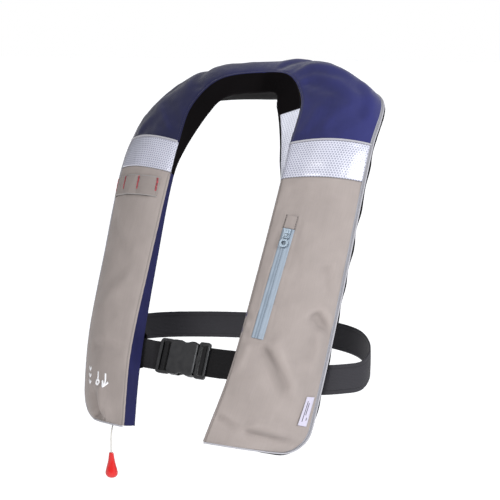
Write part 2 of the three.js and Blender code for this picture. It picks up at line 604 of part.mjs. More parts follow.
function lever(group) {
  const [from, to] = [AXIS.z - LEVER.thickness / 2, AXIS.z + LEVER.thickness / 2];
  const arm = block([0, -3, from], [LEVER.arm + 4, 3, to]).rotateZ(degrees(LEVER.rest));
  arm.translate(PIVOT.x, PIVOT.y, 0);
  const hub = rod("z", LEVER.hub, from, to, [PIVOT.x, PIVOT.y], 20);
  const tip = leverTip();
  const holes = [
    rod("z", 1.85, from - 2, to + 2, [PIVOT.x, PIVOT.y], 14),
    rod("y", CORD_R + 0.4, tip.y - 9, tip.y + 9, [tip.x, AXIS.z], 8),
  ];
  add("inflator_lever", FINISH.redPlastic, cut(join(arm, hub), ...holes), group);
  add("lever_pin", FINISH.steel, rod("z", 1.8, BODY.z0 + 0.5, BODY.z1 - 0.5, [PIVOT.x, PIVOT.y], 14), group);
  const low = PIVOT.y + LEVER.hub + GAP;
  const pin = join(
    rod("y", 2.2, low, 9, [AXIS.x, AXIS.z], 12),
    rod("y", 4.4, 5.4, 7, [AXIS.x, AXIS.z], 14),
    new THREE.ConeGeometry(1.8, 4, 10).translate(AXIS.x, 10.5, AXIS.z),
  );
  add("firing_pin", FINISH.steel, pin, group);
  const coil = new THREE.CatmullRomCurve3(
    range(0, 3, 24).map((turn) => {
      const angle = 2 * Math.PI * turn;
      return vec(AXIS.x + 4 * Math.cos(angle), 8.2 + 1.9 * turn, AXIS.z + 4 * Math.sin(angle));
    }),
  );
  add("firing_pin_spring", FINISH.steel, tube(coil, 0.5, 6, 48), group);
}

function leverTip() {
  const angle = degrees(LEVER.rest);
  return { x: PIVOT.x + LEVER.arm * Math.cos(angle), y: PIVOT.y + LEVER.arm * Math.sin(angle) };
}

function waterSensor(group) {
  const { x0 } = BODY;
  const at = [SENSOR.y, AXIS.z];
  const core = rod("x", 1.8, x0 - 20, x0 + 4, at, 10);
  const bobbin = cut(rod("x", SENSOR.bore - GAP, x0 - 16, x0 + 2, at, 16), core);
  add("water_sensing_bobbin", FINISH.label, bobbin, group);
  const cap = rod("x", SENSOR.cap, x0 - 18, x0 - GAP, at, 20);
  const inside = rod("x", SENSOR.boss + GAP, x0 - 16.4, x0 + 2, at, 20);
  add("sensor_cap", FINISH.blackPlastic, cut(cap, inside), group);
}

// ---------------------------------------------------------------- pull cord and toggle

const TOGGLE = { length: 35, radius: 9.3, drop: 37 };
function pullCord() {
  const { start, down, hole } = cordRun();
  const exit = hole.clone().addScaledVector(down, 5);
  const inside = hole.clone().addScaledVector(down, -12);
  const hang = (drop, share) => exit.clone().add(vec(0, -5 * share, -drop));
  const points = [
    start,
    start.clone().lerp(inside, 0.33),
    start.clone().lerp(inside, 0.66),
    inside,
    hole,
    exit,
    hang(6, 0.5),
    hang(13, 0.8),
    hang(22, 0.9),
    hang(TOGGLE.drop, 0.9),
  ];
  const path = new THREE.CatmullRomCurve3(points, false, "centripetal");
  add("pull_cord", FINISH.cord, tube(path, CORD_R, 8, 48));
  const { radius, length } = TOGGLE;
  const profile = [
    [0, 0],
    [3.2, 0],
    [4, -3],
    [5, -length * 0.35],
    [radius * 0.82, -length * 0.58],
    [radius, -length * 0.76],
    [radius * 0.86, -length * 0.91],
    [radius * 0.5, -length * 0.985],
    [0, -length],
  ];
  const drop = facingOut(merged(turned(profile, 16))).rotateX(Math.PI / 2);
  const end = points[points.length - 1];
  add("pull_toggle", FINISH.redPlastic, drop.translate(end.x, end.y, end.z - GAP));
}

// ---------------------------------------------------------------- waist belt

const BUCKLE_X = -8; // the buckle's place along the belt
const FEMALE = { mouth: 18, x0: -24, halfHeight: 24, halfDepth: 6.5, wall: 2.3, bar: -42 };
const MALE = { x0: FEMALE.mouth + 0.4, x1: 35, halfHeight: 25.5, halfDepth: 3.2 };
const beltUp = () => vec(0, Math.sin(degrees(BELT.tilt)), Math.cos(degrees(BELT.tilt)));
const UNDER_BARS = MALE.halfDepth + 2 * GAP + BELT.thickness / 2; // the webbing's middle, behind the bars
const slotBlock = ([from, to]) => block([from, -20, -20.6], [to, 20, 20.6]);

function beltPath() {
  const frame = new THREE.Matrix4().makeRotationX(-degrees(BELT.tilt)).setPosition(0, BELT.y, BELT.z);
  const onStretch = (x, y) => ({ point: vec(x, y, 0).applyMatrix4(frame), up: beltUp() });
  const onPanel = (u, depth, side = "left") => {
    const [s] = onSide(side, [BELT_STATION - BELT.fall * u]);
    const { along } = section(s);
    return { point: back(s, u, -depth), up: side === "left" ? along : along.negate() };
  };
  const loose = (x, y, z = BELT.rearZ, lean = 0) => ({ point: vec(x, y, z), up: vec(0, lean, 1) });
  return { onStretch, onPanel, loose };
}

function belt() {
  const { onStretch, onPanel, loose } = beltPath();
  const hidden = [0.1, 0.22, 0.34].map((u) => onPanel(u, 3));
  const shortStrap = [onStretch(BUCKLE_X + 27, UNDER_BARS), onStretch(45, 4), onStretch(62, 2.5), ...hidden];
  add("belt_front_left", FINISH.webbing, strap(shortStrap, 20));
  const stops = [
    ...[0.16, 0.35, 0.6, 0.9].map((u) => onPanel(u, 6)),
    loose(205, -160, -366, 0.3),
    loose(222, -138, -366, 0.1),
    loose(222, -106, -360),
    loose(196, -70, -354),
    loose(145, -42),
    loose(75, -26),
    loose(0, -21),
    loose(-75, -27),
    loose(-140, -46),
    loose(-178, -80),
    loose(-194, -115),
    loose(-196, -142, -355, 0.15),
    ...[0.9, 0.6, 0.35, 0.16].map((u) => onPanel(u, 4, "right")),
    onStretch(-64, 3),
    onStretch(-54, 4.2),
    onStretch(BUCKLE_X - 30, UNDER_BARS),
  ];
  add("waist_belt", FINISH.webbing, strap(stops, 64));
  SIDES.forEach((side) => add(`belt_loop_${side}`, FINISH.blackFabric, beltLoop(side)));
}

// The flat sleeve on the back panel that the belt passes through.
function beltLoop(side) {
  const share = (k) => Math.min(k, 1 - k);
  const rise = (k) => lerp(GAP, TUNNEL.height, smoothstep(share(k), 0.08, 0.16));
  const face = (depth) => (k, u) => {
    const [s] = onSide(side, [BELT_STATION + (2 * k - 1) * TUNNEL.reach - BELT.fall * u]);
    return back(s, u, -rise(k) - depth);
  };
  const shares = [0, 0.04, 0.08, 0.12, 0.16, 0.5, 0.84, 0.88, 0.92, 0.96, 1];
  return slab(face(0), face(FABRIC), shares, range(TUNNEL.from, TUNNEL.to, 4));
}

function buckle() {
  const group = new THREE.Group();
  group.rotation.x = -degrees(BELT.tilt);
  group.position.set(BUCKLE_X, BELT.y, BELT.z);
  root.add(group);
  add("buckle_female", FINISH.blackPlastic, buckleFemale(), group);
  add("buckle_male", FINISH.blackPlastic, buckleMale(), group);
  add("buckle_arm_upper", FINISH.blackPlastic, buckleArm(1), group);
  add("buckle_arm_lower", FINISH.blackPlastic, buckleArm(-1), group);
}

function buckleFemale() {
  const { mouth, x0, halfHeight: h, halfDepth: d, wall, bar } = FEMALE;
  const housing = plate((mouth - x0) / 2, h, 6, -d, d, 1.2).translate((mouth + x0) / 2, 0, 0);
  const frame = plate((x0 + 4 - bar) / 2, 24.5, 5, -3.2, 3.2, 0.8).translate((x0 + 4 + bar) / 2, 0, 0);
  const inside = block([x0 + 4, -d + wall, -h + wall], [mouth + 2, d - wall, h - wall]);
  const scoops = [-1, 1].map((side) => rod("y", 14, -20, 20, [0, side * (h + 11.5)], 28));
  const windows = [-1, 1].map((side) => {
    const [low, high] = [side * (h - wall - 2), side * (h + 2)].sort((p, q) => p - q);
    return block([-8, -d + wall, low], [8, d - wall, high]);
  });
  const slots = [[bar + 5, bar + 9.5], [bar + 13.5, x0 - 1]].map(slotBlock);
  return cut(join(housing, frame), inside, ...scoops, ...windows, ...slots);
}

function buckleMale() {
  const { x0, x1, halfHeight, halfDepth } = MALE;
  const base = plate((x1 - x0) / 2, halfHeight, 3.5, -halfDepth, halfDepth, 1).translate((x1 + x0) / 2, 0, 0);
  const guide = prism(tongueOutline(x0), -2.8, 2.8);
  const slots = [[x0 + 4.2, x0 + 8], [x0 + 11.6, x0 + 13.6]].map(slotBlock);
  return cut(join(base, guide), ...slots);
}

function tongueOutline(x0) {
  const shape = new THREE.Shape();
  shape.moveTo(x0 + 2, 6);
  shape.lineTo(x0 - 6, 4);
  shape.lineTo(-12, 4);
  shape.absarc(-12, 0, 4, Math.PI / 2, Math.PI * 1.5);
  shape.lineTo(x0 - 6, -4);
  shape.lineTo(x0 + 2, -6);
  shape.closePath();
  return shape;
}

// A sprung side arm: root inside the mouth, hook in the housing's side window.
function buckleArm(side) {
  const root0 = MALE.x0 - GAP;
  const shape = new THREE.Shape();
  shape.moveTo(root0, 10);
  shape.lineTo(root0, 18);
  shape.quadraticCurveTo(12, 20.6, 8, 20.8);
  shape.lineTo(6.6, 22.6);
  shape.quadraticCurveTo(0, 21.4, -7, 20.2);
  shape.quadraticCurveTo(-13, 18.6, -13.4, 15.6);
  shape.lineTo(-8, 14.6);
  shape.quadraticCurveTo(2, 16.4, 10, 13.6);
  shape.lineTo(root0, 10);
  const arm = merged(prism(shape, -3, 3));
  return side > 0 ? arm : facingOut(arm.applyMatrix4(new THREE.Matrix4().makeScale(1, 1, -1)));
}

frontCovers();
bands();
walls();
edgePiping();
bottomWalls();
trims();
pocket();
bladder();
oralTube();
inflator();
pullCord();
belt();
buckle();

export default root;
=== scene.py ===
"""Visual model of an inflatable life jacket: its collar of cloth panels, pocket, belt and release cord."""

import logging
import math
from collections.abc import Callable, Sequence
from dataclasses import dataclass, field
from enum import Enum
from functools import lru_cache

import bmesh
import bpy
from mathutils import Matrix, Vector, noise


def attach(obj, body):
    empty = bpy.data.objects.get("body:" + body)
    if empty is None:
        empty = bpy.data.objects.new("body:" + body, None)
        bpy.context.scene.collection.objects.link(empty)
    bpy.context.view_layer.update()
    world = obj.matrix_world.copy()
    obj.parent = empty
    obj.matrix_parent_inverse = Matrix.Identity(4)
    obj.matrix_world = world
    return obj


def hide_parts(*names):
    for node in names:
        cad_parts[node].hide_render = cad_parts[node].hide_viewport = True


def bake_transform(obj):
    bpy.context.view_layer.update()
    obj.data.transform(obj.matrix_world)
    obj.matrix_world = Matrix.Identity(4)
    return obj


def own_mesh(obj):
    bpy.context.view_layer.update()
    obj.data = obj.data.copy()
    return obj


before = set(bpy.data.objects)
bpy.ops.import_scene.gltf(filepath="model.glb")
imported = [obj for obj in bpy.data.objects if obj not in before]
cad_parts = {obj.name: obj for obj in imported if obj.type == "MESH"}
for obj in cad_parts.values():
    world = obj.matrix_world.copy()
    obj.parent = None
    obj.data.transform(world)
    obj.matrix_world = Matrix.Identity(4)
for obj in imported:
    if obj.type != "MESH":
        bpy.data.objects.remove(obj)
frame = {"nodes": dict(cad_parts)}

log = logging.getLogger("life_jacket")

MM = 0.001
CLOTH_UV = "cloth"
SEAM_ATTRIBUTE = "seam_distance"
HOLLOW_ATTRIBUTE = "hollow_depth"


# ---------------------------------------------------------------- the collar's own coordinates


@dataclass(frozen=True)
class Station:
    """One cross-section of the collar's left half, in millimetres.

    inner and outer are the front cover's two edges, wall is the depth of the inner gusset, lean moves the
    gusset's body-side edge outwards, and bulge crowns the front cover.
    """

    inner: tuple[float, float, float]
    outer: tuple[float, float, float]
    wall: float
    lean: float
    bulge: float


STATIONS = (
    Station((61, -294, -436), (173, -219, -460), 26, 8, 14),  # bottom
    Station((77, -248, -351), (185, -184, -358), 26, 8, 19),  # belt
    Station((84, -180, -234), (191, -127, -238), 18, 5, 17),  # middle
    Station((88, -109, -112), (195, -68, -116), 10, 1, 15),  # band, lower edge
    Station((89, -82, -68), (195, -38, -72), 12, -8, 15),  # band, upper edge
    Station((88, -40, -12), (190, 18, -22), 20, -27, 18),  # shoulder
    Station((58, -10, 23), (126, 84, -4), 32, -14, 26),  # side of the nape
    Station((0, 16, 30), (0, 110, -6), 34, -5, 29),  # nape
)
END = 2.0 * (len(STATIONS) - 1)
BAND = (3.0, 4.0)
PATCH_END = 4.80
FABRIC = 1.4
GAP = 0.3
EDGE_WALL = 10.0
CORNER = 36.0
PIPING_R = 1.15
YOKE_TILT = 0.06
LOBE_TILT = 0.024
BLADDER_BACK = FABRIC + 3 * GAP
BLADDER_LAYER = 5.0


def clamp(value: float, low: float = 0.0, high: float = 1.0) -> float:
    """Returns value held between low and high."""
    return max(low, min(high, value))


def mix(a: float, b: float, share: float) -> float:
    """Returns the number that lies share of the way from a to b."""
    return a + (b - a) * share


def smooth(value: float, low: float, high: float) -> float:
    """Returns a soft step from 0 at low to 1 at high."""
    t = clamp((value - low) / (high - low))
    return t * t * (3 - 2 * t)


def spread(low: float, high: float, steps: int) -> list[float]:
    """Returns steps + 1 even numbers from low to high."""
    return [mix(low, high, i / steps) for i in range(steps + 1)]


def ripple(x: float, y: float, z: float) -> float:
    """Returns smooth noise, between -1 and 1, at a place."""
    return noise.noise(Vector((x, y, z)))


class SmoothCurve:
    """A centripetal Catmull-Rom curve through points, with a parameter from 0 to 1 that is even in points."""

    def __init__(self, points: Sequence[Vector]) -> None:
        """Takes the points that the curve passes through.

        Args:
            points: the points.
        """
        self.points = [Vector(p) for p in points]
        self.ahead = 2 * self.points[0] - self.points[1]
        self.beyond = 2 * self.points[-1] - self.points[-2]

    def at(self, t: float) -> Vector:
        """Returns the point at parameter t.

        Args:
            t: the parameter, from 0 to 1.

        Returns:
            The point.
        """
        last = len(self.points) - 1
        place = clamp(t) * last
        i = min(int(place), last - 1)
        w = place - i
        p0 = self.points[i - 1] if i > 0 else self.ahead
        p1, p2 = self.points[i], self.points[i + 1]
        p3 = self.points[i + 2] if i + 2 <= last else self.beyond
        d1 = (p2 - p1).length ** 0.5 or 1.0
        d0 = (p1 - p0).length ** 0.5 or d1
        d2 = (p3 - p2).length ** 0.5 or d1
        m1 = ((p1 - p0) / d0 - (p2 - p0) / (d0 + d1) + (p2 - p1) / d1) * d1
        m2 = ((p2 - p1) / d1 - (p3 - p1) / (d1 + d2) + (p3 - p2) / d2) * d1
        return p1 + w * m1 + w**2 * (3 * (p2 - p1) - 2 * m1 - m2) + w**3 * (2 * (p1 - p2) + m1 + m2)

    def tangent(self, t: float) -> Vector:
        """Returns the unit direction of travel at parameter t."""
        return (self.at(t + 1e-4) - self.at(t - 1e-4)).normalized()


@dataclass(frozen=True)
class Section:
    """The collar's cross-section at a station, in millimetres."""

    inner: Vector
    across: Vector
    along: Vector
    out: Vector
    full_width: float
    width: float
    wall: float
    lean: float
    bulge: float


def settled(p: Sequence[float]) -> Vector:
    """Returns the point p as the worn collar has settled, a little higher on one side of the neck."""
    slope = YOKE_TILT * smooth(p[2], -120, -10) - LOBE_TILT * smooth(-p[2], 150, 400)
    return Vector((p[0], p[1], p[2] + p[0] * slope))


def both_halves(left: Sequence[Sequence[float]], mirrored: bool) -> list[Vector]:
    """Returns the left half's values, then the right half's, whose x is turned over if mirrored is true.

    Args:
        left: the values of the left half, from the bottom to the nape.
        mirrored: whether x changes sign.

    Returns:
        The values from one lobe's bottom to the other's.
    """
    sign = -1 if mirrored else 1
    right = [(sign * p[0], p[1], p[2]) for p in left[-2::-1]]
    return [Vector(p) for p in (*left, *right)]


class Collar:
    """The horseshoe collar's surfaces. s runs along it, 0 at the left lobe's bottom, END at the right lobe's.

    u is the share of the way across, 0 at the neck side and 1 at the outer side. Depths are millimetres into
    the collar, and points come back in metres.
    """

    def __init__(self) -> None:
        """Builds the edge curves from the stations."""
        inner = both_halves([s.inner for s in STATIONS], True)
        outer = both_halves([s.outer for s in STATIONS], True)
        self.inner_edge = SmoothCurve([settled(p) for p in inner])
        self.outer_edge = SmoothCurve([settled(p) for p in outer])
        self.depths = SmoothCurve(both_halves([(s.wall, s.lean, s.bulge) for s in STATIONS], False))
        bottom, belt = (Vector(s.outer) for s in STATIONS[:2])
        self.corner_stations = CORNER / (bottom - belt).length

    def width_share(self, s: float, full_width: float) -> float:
        """Returns the share of the full width that a lobe's rounded corner leaves at s.

        Args:
            s: the station along the collar.
            full_width: the width in millimetres that the lobe would have without its corner.

        Returns:
            The share, from 0 to 1.
        """
        from_end = min(s, END - s)
        if from_end >= self.corner_stations:
            return 1.0
        cut = CORNER / full_width
        return 1 - cut + cut * math.sqrt(max(1 - (1 - max(from_end, 0) / self.corner_stations) ** 2, 0))

    @lru_cache(maxsize=20000)
    def section(self, s: float) -> Section:
        """Returns the cross-section at station s.

        Args:
            s: the station along the collar.

        Returns:
            The cross-section.
        """
        t = clamp(s / END)
        inner = self.inner_edge.at(t)
        across = self.outer_edge.at(t) - inner
        full = across.length
        across.normalize()
        along = self.inner_edge.tangent(t) + self.outer_edge.tangent(t)
        along = (along - across * along.dot(across)).normalized()
        out = across.cross(along).normalized()
        wall, lean, bulge = self.depths.at(t)
        return Section(inner, across, along, out, full, full * self.width_share(s, full), wall, lean, bulge)

    def front(self, s: float, u: float, depth: float = 0.0) -> Vector:
        """Returns a point of the front face.

        Args:
            s: the station along the collar.
            u: the share of the way across the collar.
            depth: the depth into the collar in millimetres.

        Returns:
            The point in metres.
        """
        c = self.section(s)
        crown = c.bulge * max(math.sin(math.pi * clamp(u)), 0) ** 0.85
        return (c.inner + c.across * u * c.width + c.out * (crown - depth)) * MM

    def back(self, s: float, u: float, depth: float = 0.0) -> Vector:
        """Returns a point of the body-side face.

        Args:
            s: the station along the collar.
            u: the share of the way across the collar.
            depth: the depth into the collar in millimetres.

        Returns:
            The point in metres.
        """
        c = self.section(s)
        fall = mix(c.wall, EDGE_WALL, u) + 3 * math.sin(math.pi * clamp(u))
        lean = c.lean - self.reach(s)
        return (c.inner + c.across * mix(lean, c.width, u) + c.out * (depth - fall)) * MM

    def inner_wall(self, s: float, v: float, depth: float = 0.0) -> Vector:
        """Returns a point of the neck-side wall, v from the front cover to the back panel.

        Args:
            s: the station along the collar.
            v: the share of the way from the front cover to the back panel.
            depth: the depth into the collar in millimetres.

        Returns:
            The point in metres.
        """
        c = self.section(s)
        fall = mix(0.9, c.wall - 1.2, v)
        return (c.inner + c.across * ((c.lean - self.reach(s)) * fall / c.wall + depth) - c.out * fall) * MM

    def reach(self, s: float) -> float:
        """Returns how far the worn left wall leans into the neck opening, in millimetres."""
        return 6.0 * smooth(s, 2.6, 3.6) * (1 - smooth(s, 5.0, 6.2)) - 7.0 * smooth(s, 12.6, 14.0)

    def outer_wall(self, s: float, v: float, depth: float = 0.0) -> Vector:
        """Returns a point of the closure at the outer edge, v from the front cover to the back panel.

        Args:
            s: the station along the collar.
            v: the share of the way from the front cover to the back panel.
            depth: the depth into the collar in millimetres.

        Returns:
            The point in metres.
        """
        c = self.section(s)
        fall = mix(FABRIC + GAP, EDGE_WALL - FABRIC - GAP, v)
        return (c.inner + c.across * (c.width - depth) - c.out * fall) * MM

    def bottom_wall(self, end: float, u: float, v: float, depth: float = 0.0) -> Vector:
        """Returns a point of the wall that closes the lobe whose bottom is station end.

        Args:
            end: the station of the lobe's bottom.
            u: the share of the way across the collar.
            v: the share of the way from the front cover to the back panel.
            depth: the depth into the collar in millimetres.

        Returns:
            The point in metres.
        """
        c = self.section(end)
        margin = (FABRIC + 2 * GAP) / c.width
        share = mix(margin, 1 - margin, u)
        inset = FABRIC + 3 * GAP
        point = self.front(end, share, inset).lerp(self.back(end, share, inset), v)
        return point + c.along * (depth if end == 0 else -depth) * MM

    def bladder_front(self, s: float, u: float, lift: float = 0.0) -> Vector:
        """Returns a point of the folded bladder's front.

        Args:
            s: the station along the collar.
            u: the share of the way across the collar.
            lift: the distance out of the bladder in millimetres.

        Returns:
            The point in metres.
        """
        thin = self.back(s, u, BLADDER_BACK + BLADDER_LAYER + lift)
        full = self.front(s, u, FABRIC + 3 - lift)
        return thin.lerp(full, smooth(min(s, END - s), 2.65, 3.2))

    @lru_cache(maxsize=20000)
    def mid_length(self, s: float) -> float:
        """Returns the distance in millimetres along the middle of the front cover from station 0 to s.

        Args:
            s: the station along the collar.

        Returns:
            The distance.
        """
        steps = max(int(s / 0.1), 1)
        points = [self.front(k, 0.5) / MM for k in spread(0, s, steps)]
        return sum((b - a).length for a, b in zip(points, points[1:]))

    def run(self, s: float) -> float:
        """Returns mid_length at s rounded to a thousandth, so that its cache is found again."""
        return self.mid_length(round(s, 3))

    def flat(self, s: float, u: float) -> Vector:
        """Returns where a point of the front cover lies when flat, across and along, in millimetres."""
        return Vector((u * self.section(s).width, self.run(s)))


COLLAR = Collar()


# ---------------------------------------------------------------- folds in the cloth


@dataclass(frozen=True)
class Fold:
    """A soft fold of the cover from one place to another, each a station and a share.

    It fades towards its end. height is its lift in millimetres, below 0 for a valley, breadth its half width,
    and flank the lift of one side.
    """

    start: tuple[float, float]
    end: tuple[float, float]
    height: float
    breadth: float
    flank: float = 0.0


class Folds:
    """The folds of one panel, with the slow ripple of cloth that is held at its seams."""

    def __init__(self, folds: Sequence[Fold], ripple: float, seed: float) -> None:
        """Takes the folds, the ripple's height in millimetres and a seed that sets the ripple's place.

        Args:
            folds: the folds.
            ripple: the ripple's height in millimetres.
            seed: the number that sets the ripple's place.
        """
        self.lines = [(COLLAR.flat(*f.start), COLLAR.flat(*f.end), f) for f in folds]
        self.ripple = ripple
        self.seed = seed

    def lift(self, place: Vector) -> float:
        """Returns the cloth's lift in millimetres at a place of the flat panel, across and along.

        Args:
            place: the place, across and along, in millimetres.

        Returns:
            The lift.
        """
        total = self.ripple * ripple(place.x / 38, place.y / 46, self.seed)
        total += 0.5 * self.ripple * ripple(place.x / 13, place.y / 17, self.seed + 7)
        for start, end, fold in self.lines:
            run = end - start
            t = (place - start).dot(run) / run.length_squared
            if not -0.15 < t < 1.2:
                continue
            off = run.normalized().cross(place - start) / fold.breadth
            fade = smooth(t, -0.12, 0.08) * (1 - smooth(t, 0.4, 1.18))
            ridge = fold.height * math.exp(-off * off)
            total += fade * (ridge + fold.flank * off * math.exp(0.5 - off * off / 2))
        return total


LEFT_FOLDS = (
    Fold((1.335, 0.235), (1.03, 0.49), -2.0, 2.4, 1.6),
    Fold((1.26, 0.31), (0.60, 0.74), -2.0, 9.0, 4.6),
    Fold((1.62, 0.76), (1.40, 0.99), -5.2, 7.5, 3.0),
    Fold((1.46, 0.86), (0.86, 0.88), 4.4, 8.5),
    Fold((1.12, 0.80), (0.42, 0.56), 3.0, 13.0),
    Fold((1.66, -0.04), (1.50, 0.10), -3.6, 4.2, 1.2),
    Fold((1.44, -0.04), (1.37, 0.14), -3.0, 4.2, -1.0),
    Fold((1.54, -0.02), (1.46, 0.14), 2.4, 4.5),
    Fold((1.30, 0.10), (0.95, 0.08), 2.2, 6.0),
    Fold((0.21, 0.36), (0.12, 1.00), -4.2, 5.5, 1.4),
    Fold((0.33, 0.38), (0.26, 0.92), 3.4, 7.5),
    Fold((0.38, 0.02), (0.20, 0.34), -3.0, 6.0, 1.0),
    Fold((2.86, 0.15), (2.66, 0.85), -1.6, 10.0, 0.9),
    Fold((2.50, 0.40), (1.95, 0.60), 1.8, 14.0),
    Fold((2.10, 0.78), (1.75, 0.92), -1.6, 7.0, 1.2),
)
RIGHT_FOLDS = (
    Fold((13.60, 0.52), (13.97, 0.24), 2.6, 9.0, 2.4),
    Fold((13.56, 0.42), (14.04, 0.36), -0.8, 11.0, 5.5),
    Fold((13.03, 0.60), (12.95, 0.05), -1.8, 8.0, 0.8),
    Fold((13.96, 0.56), (13.74, 0.38), -2.6, 3.4, 1.0),
    Fold((13.99, 0.34), (13.78, 0.26), -2.2, 3.2, 0.8),
    Fold((12.20, 0.20), (12.70, 0.75), 1.8, 12.0, 1.2),
    Fold((11.60, 0.80), (12.00, 0.30), -1.6, 10.0, 0.6),
)
YOKE_FOLDS = (
    Fold((5.95, 0.12), (5.25, 0.78), 3.4, 12.0, 2.0),
    Fold((5.55, 0.10), (4.75, 0.62), -3.4, 10.0, 2.2),
    Fold((4.50, 0.86), (5.50, 0.76), 3.0, 8.5, -2.2),
    Fold((4.20, 0.45), (4.85, 0.80), -2.8, 10.0, 1.8),
    Fold((4.15, 0.12), (4.90, 0.30), 2.2, 9.0, 0.8),
    Fold((6.60, 0.10), (6.05, 0.92), -3.2, 10.0, 2.4),
    Fold((7.30, 0.92), (6.60, 0.40), 2.6, 12.0, 0.8),
    Fold((8.60, 0.10), (7.80, 0.70), -2.6, 9.0, 2.0),
    Fold((9.70, 0.12), (8.80, 0.66), 2.8, 9.0, 2.0),
    Fold((9.20, 0.90), (8.40, 0.40), -2.8, 9.0, 1.6),
    Fold((9.90, 0.80), (9.30, 0.35), 2.2, 9.0, 0.8),
)


def rolled(distance: float, drop: float = 1.5, reach: float = 5.0) -> float:
    """Returns the lift, 0 or less, of cloth that rolls under at a seam, distance and reach in millimetres."""
    return -drop * (1 - clamp(distance / reach)) ** 2


def puckered(distance: float, along: float, height: float = 0.3) -> float:
    """Returns the lift of the small gathers beside a line of stitches, all in millimetres."""
    pull = ripple(along / 7.0, distance / 30.0, 3.0)
    return height * pull * math.exp(-distance / 7.0)


# ---------------------------------------------------------------- making meshes

Place = Callable[[float, float, float], Vector]


class Body(Enum):
    """The moving bodies that pieces ride on."""

    JACKET = "jacket"
    BUCKLE = "buckle_male"
    RELEASE = "pull"


def grid_normal(points: Sequence[Sequence[Vector]], i: int, j: int, reach: int) -> Vector:
    """Returns the normal of a grid of points at one of them, from its neighbours reach steps away.

    Args:
        points: the grid's points, row by row.
        i: the point's row.
        j: the point's column.
        reach: the number of steps to the neighbours.

    Returns:
        The unit normal.
    """
    up, down = points[max(i - reach, 0)][j], points[min(i + reach, len(points) - 1)][j]
    west, east = points[i][max(j - reach, 0)], points[i][min(j + reach, len(points[0]) - 1)]
    return (down - up).cross(east - west).normalized()


def sunken(points: Sequence[Sequence[Vector]], i: int, j: int, reach: int = 4) -> float:
    """Returns a grid point's depth in metres below the middle of its neighbours, reach steps away.

    Args:
        points: the grid's points, row by row.
        i: the point's row.
        j: the point's column.
        reach: the number of steps to the neighbours.

    Returns:
        The depth, 0 at the grid's rim.
    """
    if not (0 < i < len(points) - 1 and 0 < j < len(points[0]) - 1):
        return 0.0
    reach = min(reach, i, j, len(points) - 1 - i, len(points[0]) - 1 - j)
    around = points[i - reach][j] + points[i + reach][j] + points[i][j - reach] + points[i][j + reach]
    return (around / 4 - points[i][j]).dot(grid_normal(points, i, j, reach))


def grid_bmesh(rows: Sequence[float], columns: Sequence[float], place: Place) -> bmesh.types.BMesh:
    """Makes an open sheet of faces over rows and columns.

    Args:
        rows: the first value given to place, one for each row of points.
        columns: the second value given to place.
        place: gives the point in metres for a row value, a column value and a depth in millimetres.

    Returns:
        The sheet, facing away from its depth, with its width and length in metres as UVs, and its distance
        from the nearest long edge and its hollowness as attributes.
    """
    bm = bmesh.new()
    nx, ny = len(columns) - 1, len(rows) - 1
    bmesh.ops.create_grid(bm, x_segments=nx, y_segments=ny, size=1.0)
    points = [[place(row, column, 0.0) for column in columns] for row in rows]
    across = [[0.0] for _ in rows]
    for line, widths in zip(points, across):
        for a, b in zip(line, line[1:]):
            widths.append(widths[-1] + (b - a).length)
    middle = nx // 2
    along = [0.0]
    for a, b in zip(points, points[1:]):
        along.append(along[-1] + (b[middle] - a[middle]).length)
    uv_layer = bm.loops.layers.uv.new(CLOTH_UV)
    seam = bm.verts.layers.float.new(SEAM_ATTRIBUTE)
    hollow = bm.verts.layers.float.new(HOLLOW_ATTRIBUTE)
    steps = {}
    for vert in bm.verts:
        j = round((vert.co.x + 1) / 2 * nx)
        i = round((vert.co.y + 1) / 2 * ny)
        steps[vert] = (i, j)
    for vert, (i, j) in steps.items():
        vert.co = points[i][j]
        vert[seam] = min(across[i][j], across[i][-1] - across[i][j])
    for face in bm.faces:
        for loop in face.loops:
            i, j = steps[loop.vert]
            loop[uv_layer].uv = (across[i][j], along[i])
    row, column = len(rows) // 2, len(columns) // 2
    centre = points[row][column]
    outward = centre - place(rows[row], columns[column], 1.0)
    side = math.copysign(1.0, grid_normal(points, row, column, 2).dot(outward))
    for vert, (i, j) in steps.items():
        vert[hollow] = side * sunken(points, i, j)
    bm.normal_update()
    nearest = min(bm.faces, key=lambda face: (face.calc_center_median() - centre).length_squared)
    if nearest.normal.dot(outward) < 0:
        bmesh.ops.reverse_faces(bm, faces=bm.faces)
    return bm


def to_object(name: str, bm: bmesh.types.BMesh, material: bpy.types.Material) -> bpy.types.Object:
    """Turns a bmesh into a smooth-shaded object in the scene and returns it.

    Args:
        name: the piece's name.
        bm: the shape, which is freed.
        material: its finish.

    Returns:
        The object.
    """
    mesh = bpy.data.meshes.new(name)
    bm.to_mesh(mesh)
    bm.free()
    mesh.shade_smooth()
    mesh.materials.append(material)
    piece = bpy.data.objects.new(name, mesh)
    bpy.context.scene.collection.objects.link(piece)
    return piece


def thickened(piece: bpy.types.Object, thickness: float, offset: float = -1.0) -> bpy.types.Object:
    """Gives a sheet its thickness in millimetres with a live modifier and returns it.

    Args:
        piece: the piece.
        thickness: the thickness in millimetres.
        offset: the side it grows to, -1 for inwards and 0 for both.

    Returns:
        The piece.
    """
    wall = piece.modifiers.new("cloth_thickness", "SOLIDIFY")
    wall.thickness = thickness * MM
    wall.offset = offset
    wall.use_rim = True
    return piece


def settle(piece: bpy.types.Object, body: Body, slot: str, nodes: Sequence[str] = ()) -> bpy.types.Object:
    """Makes a piece ride on a body, hides the CAD nodes it stands for, and returns it.

    Args:
        piece: the piece.
        body: the body it rides on.
        slot: not used.
        nodes: the CAD nodes it stands for.

    Returns:
        The piece.
    """
    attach(piece, body.value)
    if nodes:
        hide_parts(*nodes)
    log.info("%s: %d faces", piece.name, len(piece.data.polygons))
    return piece


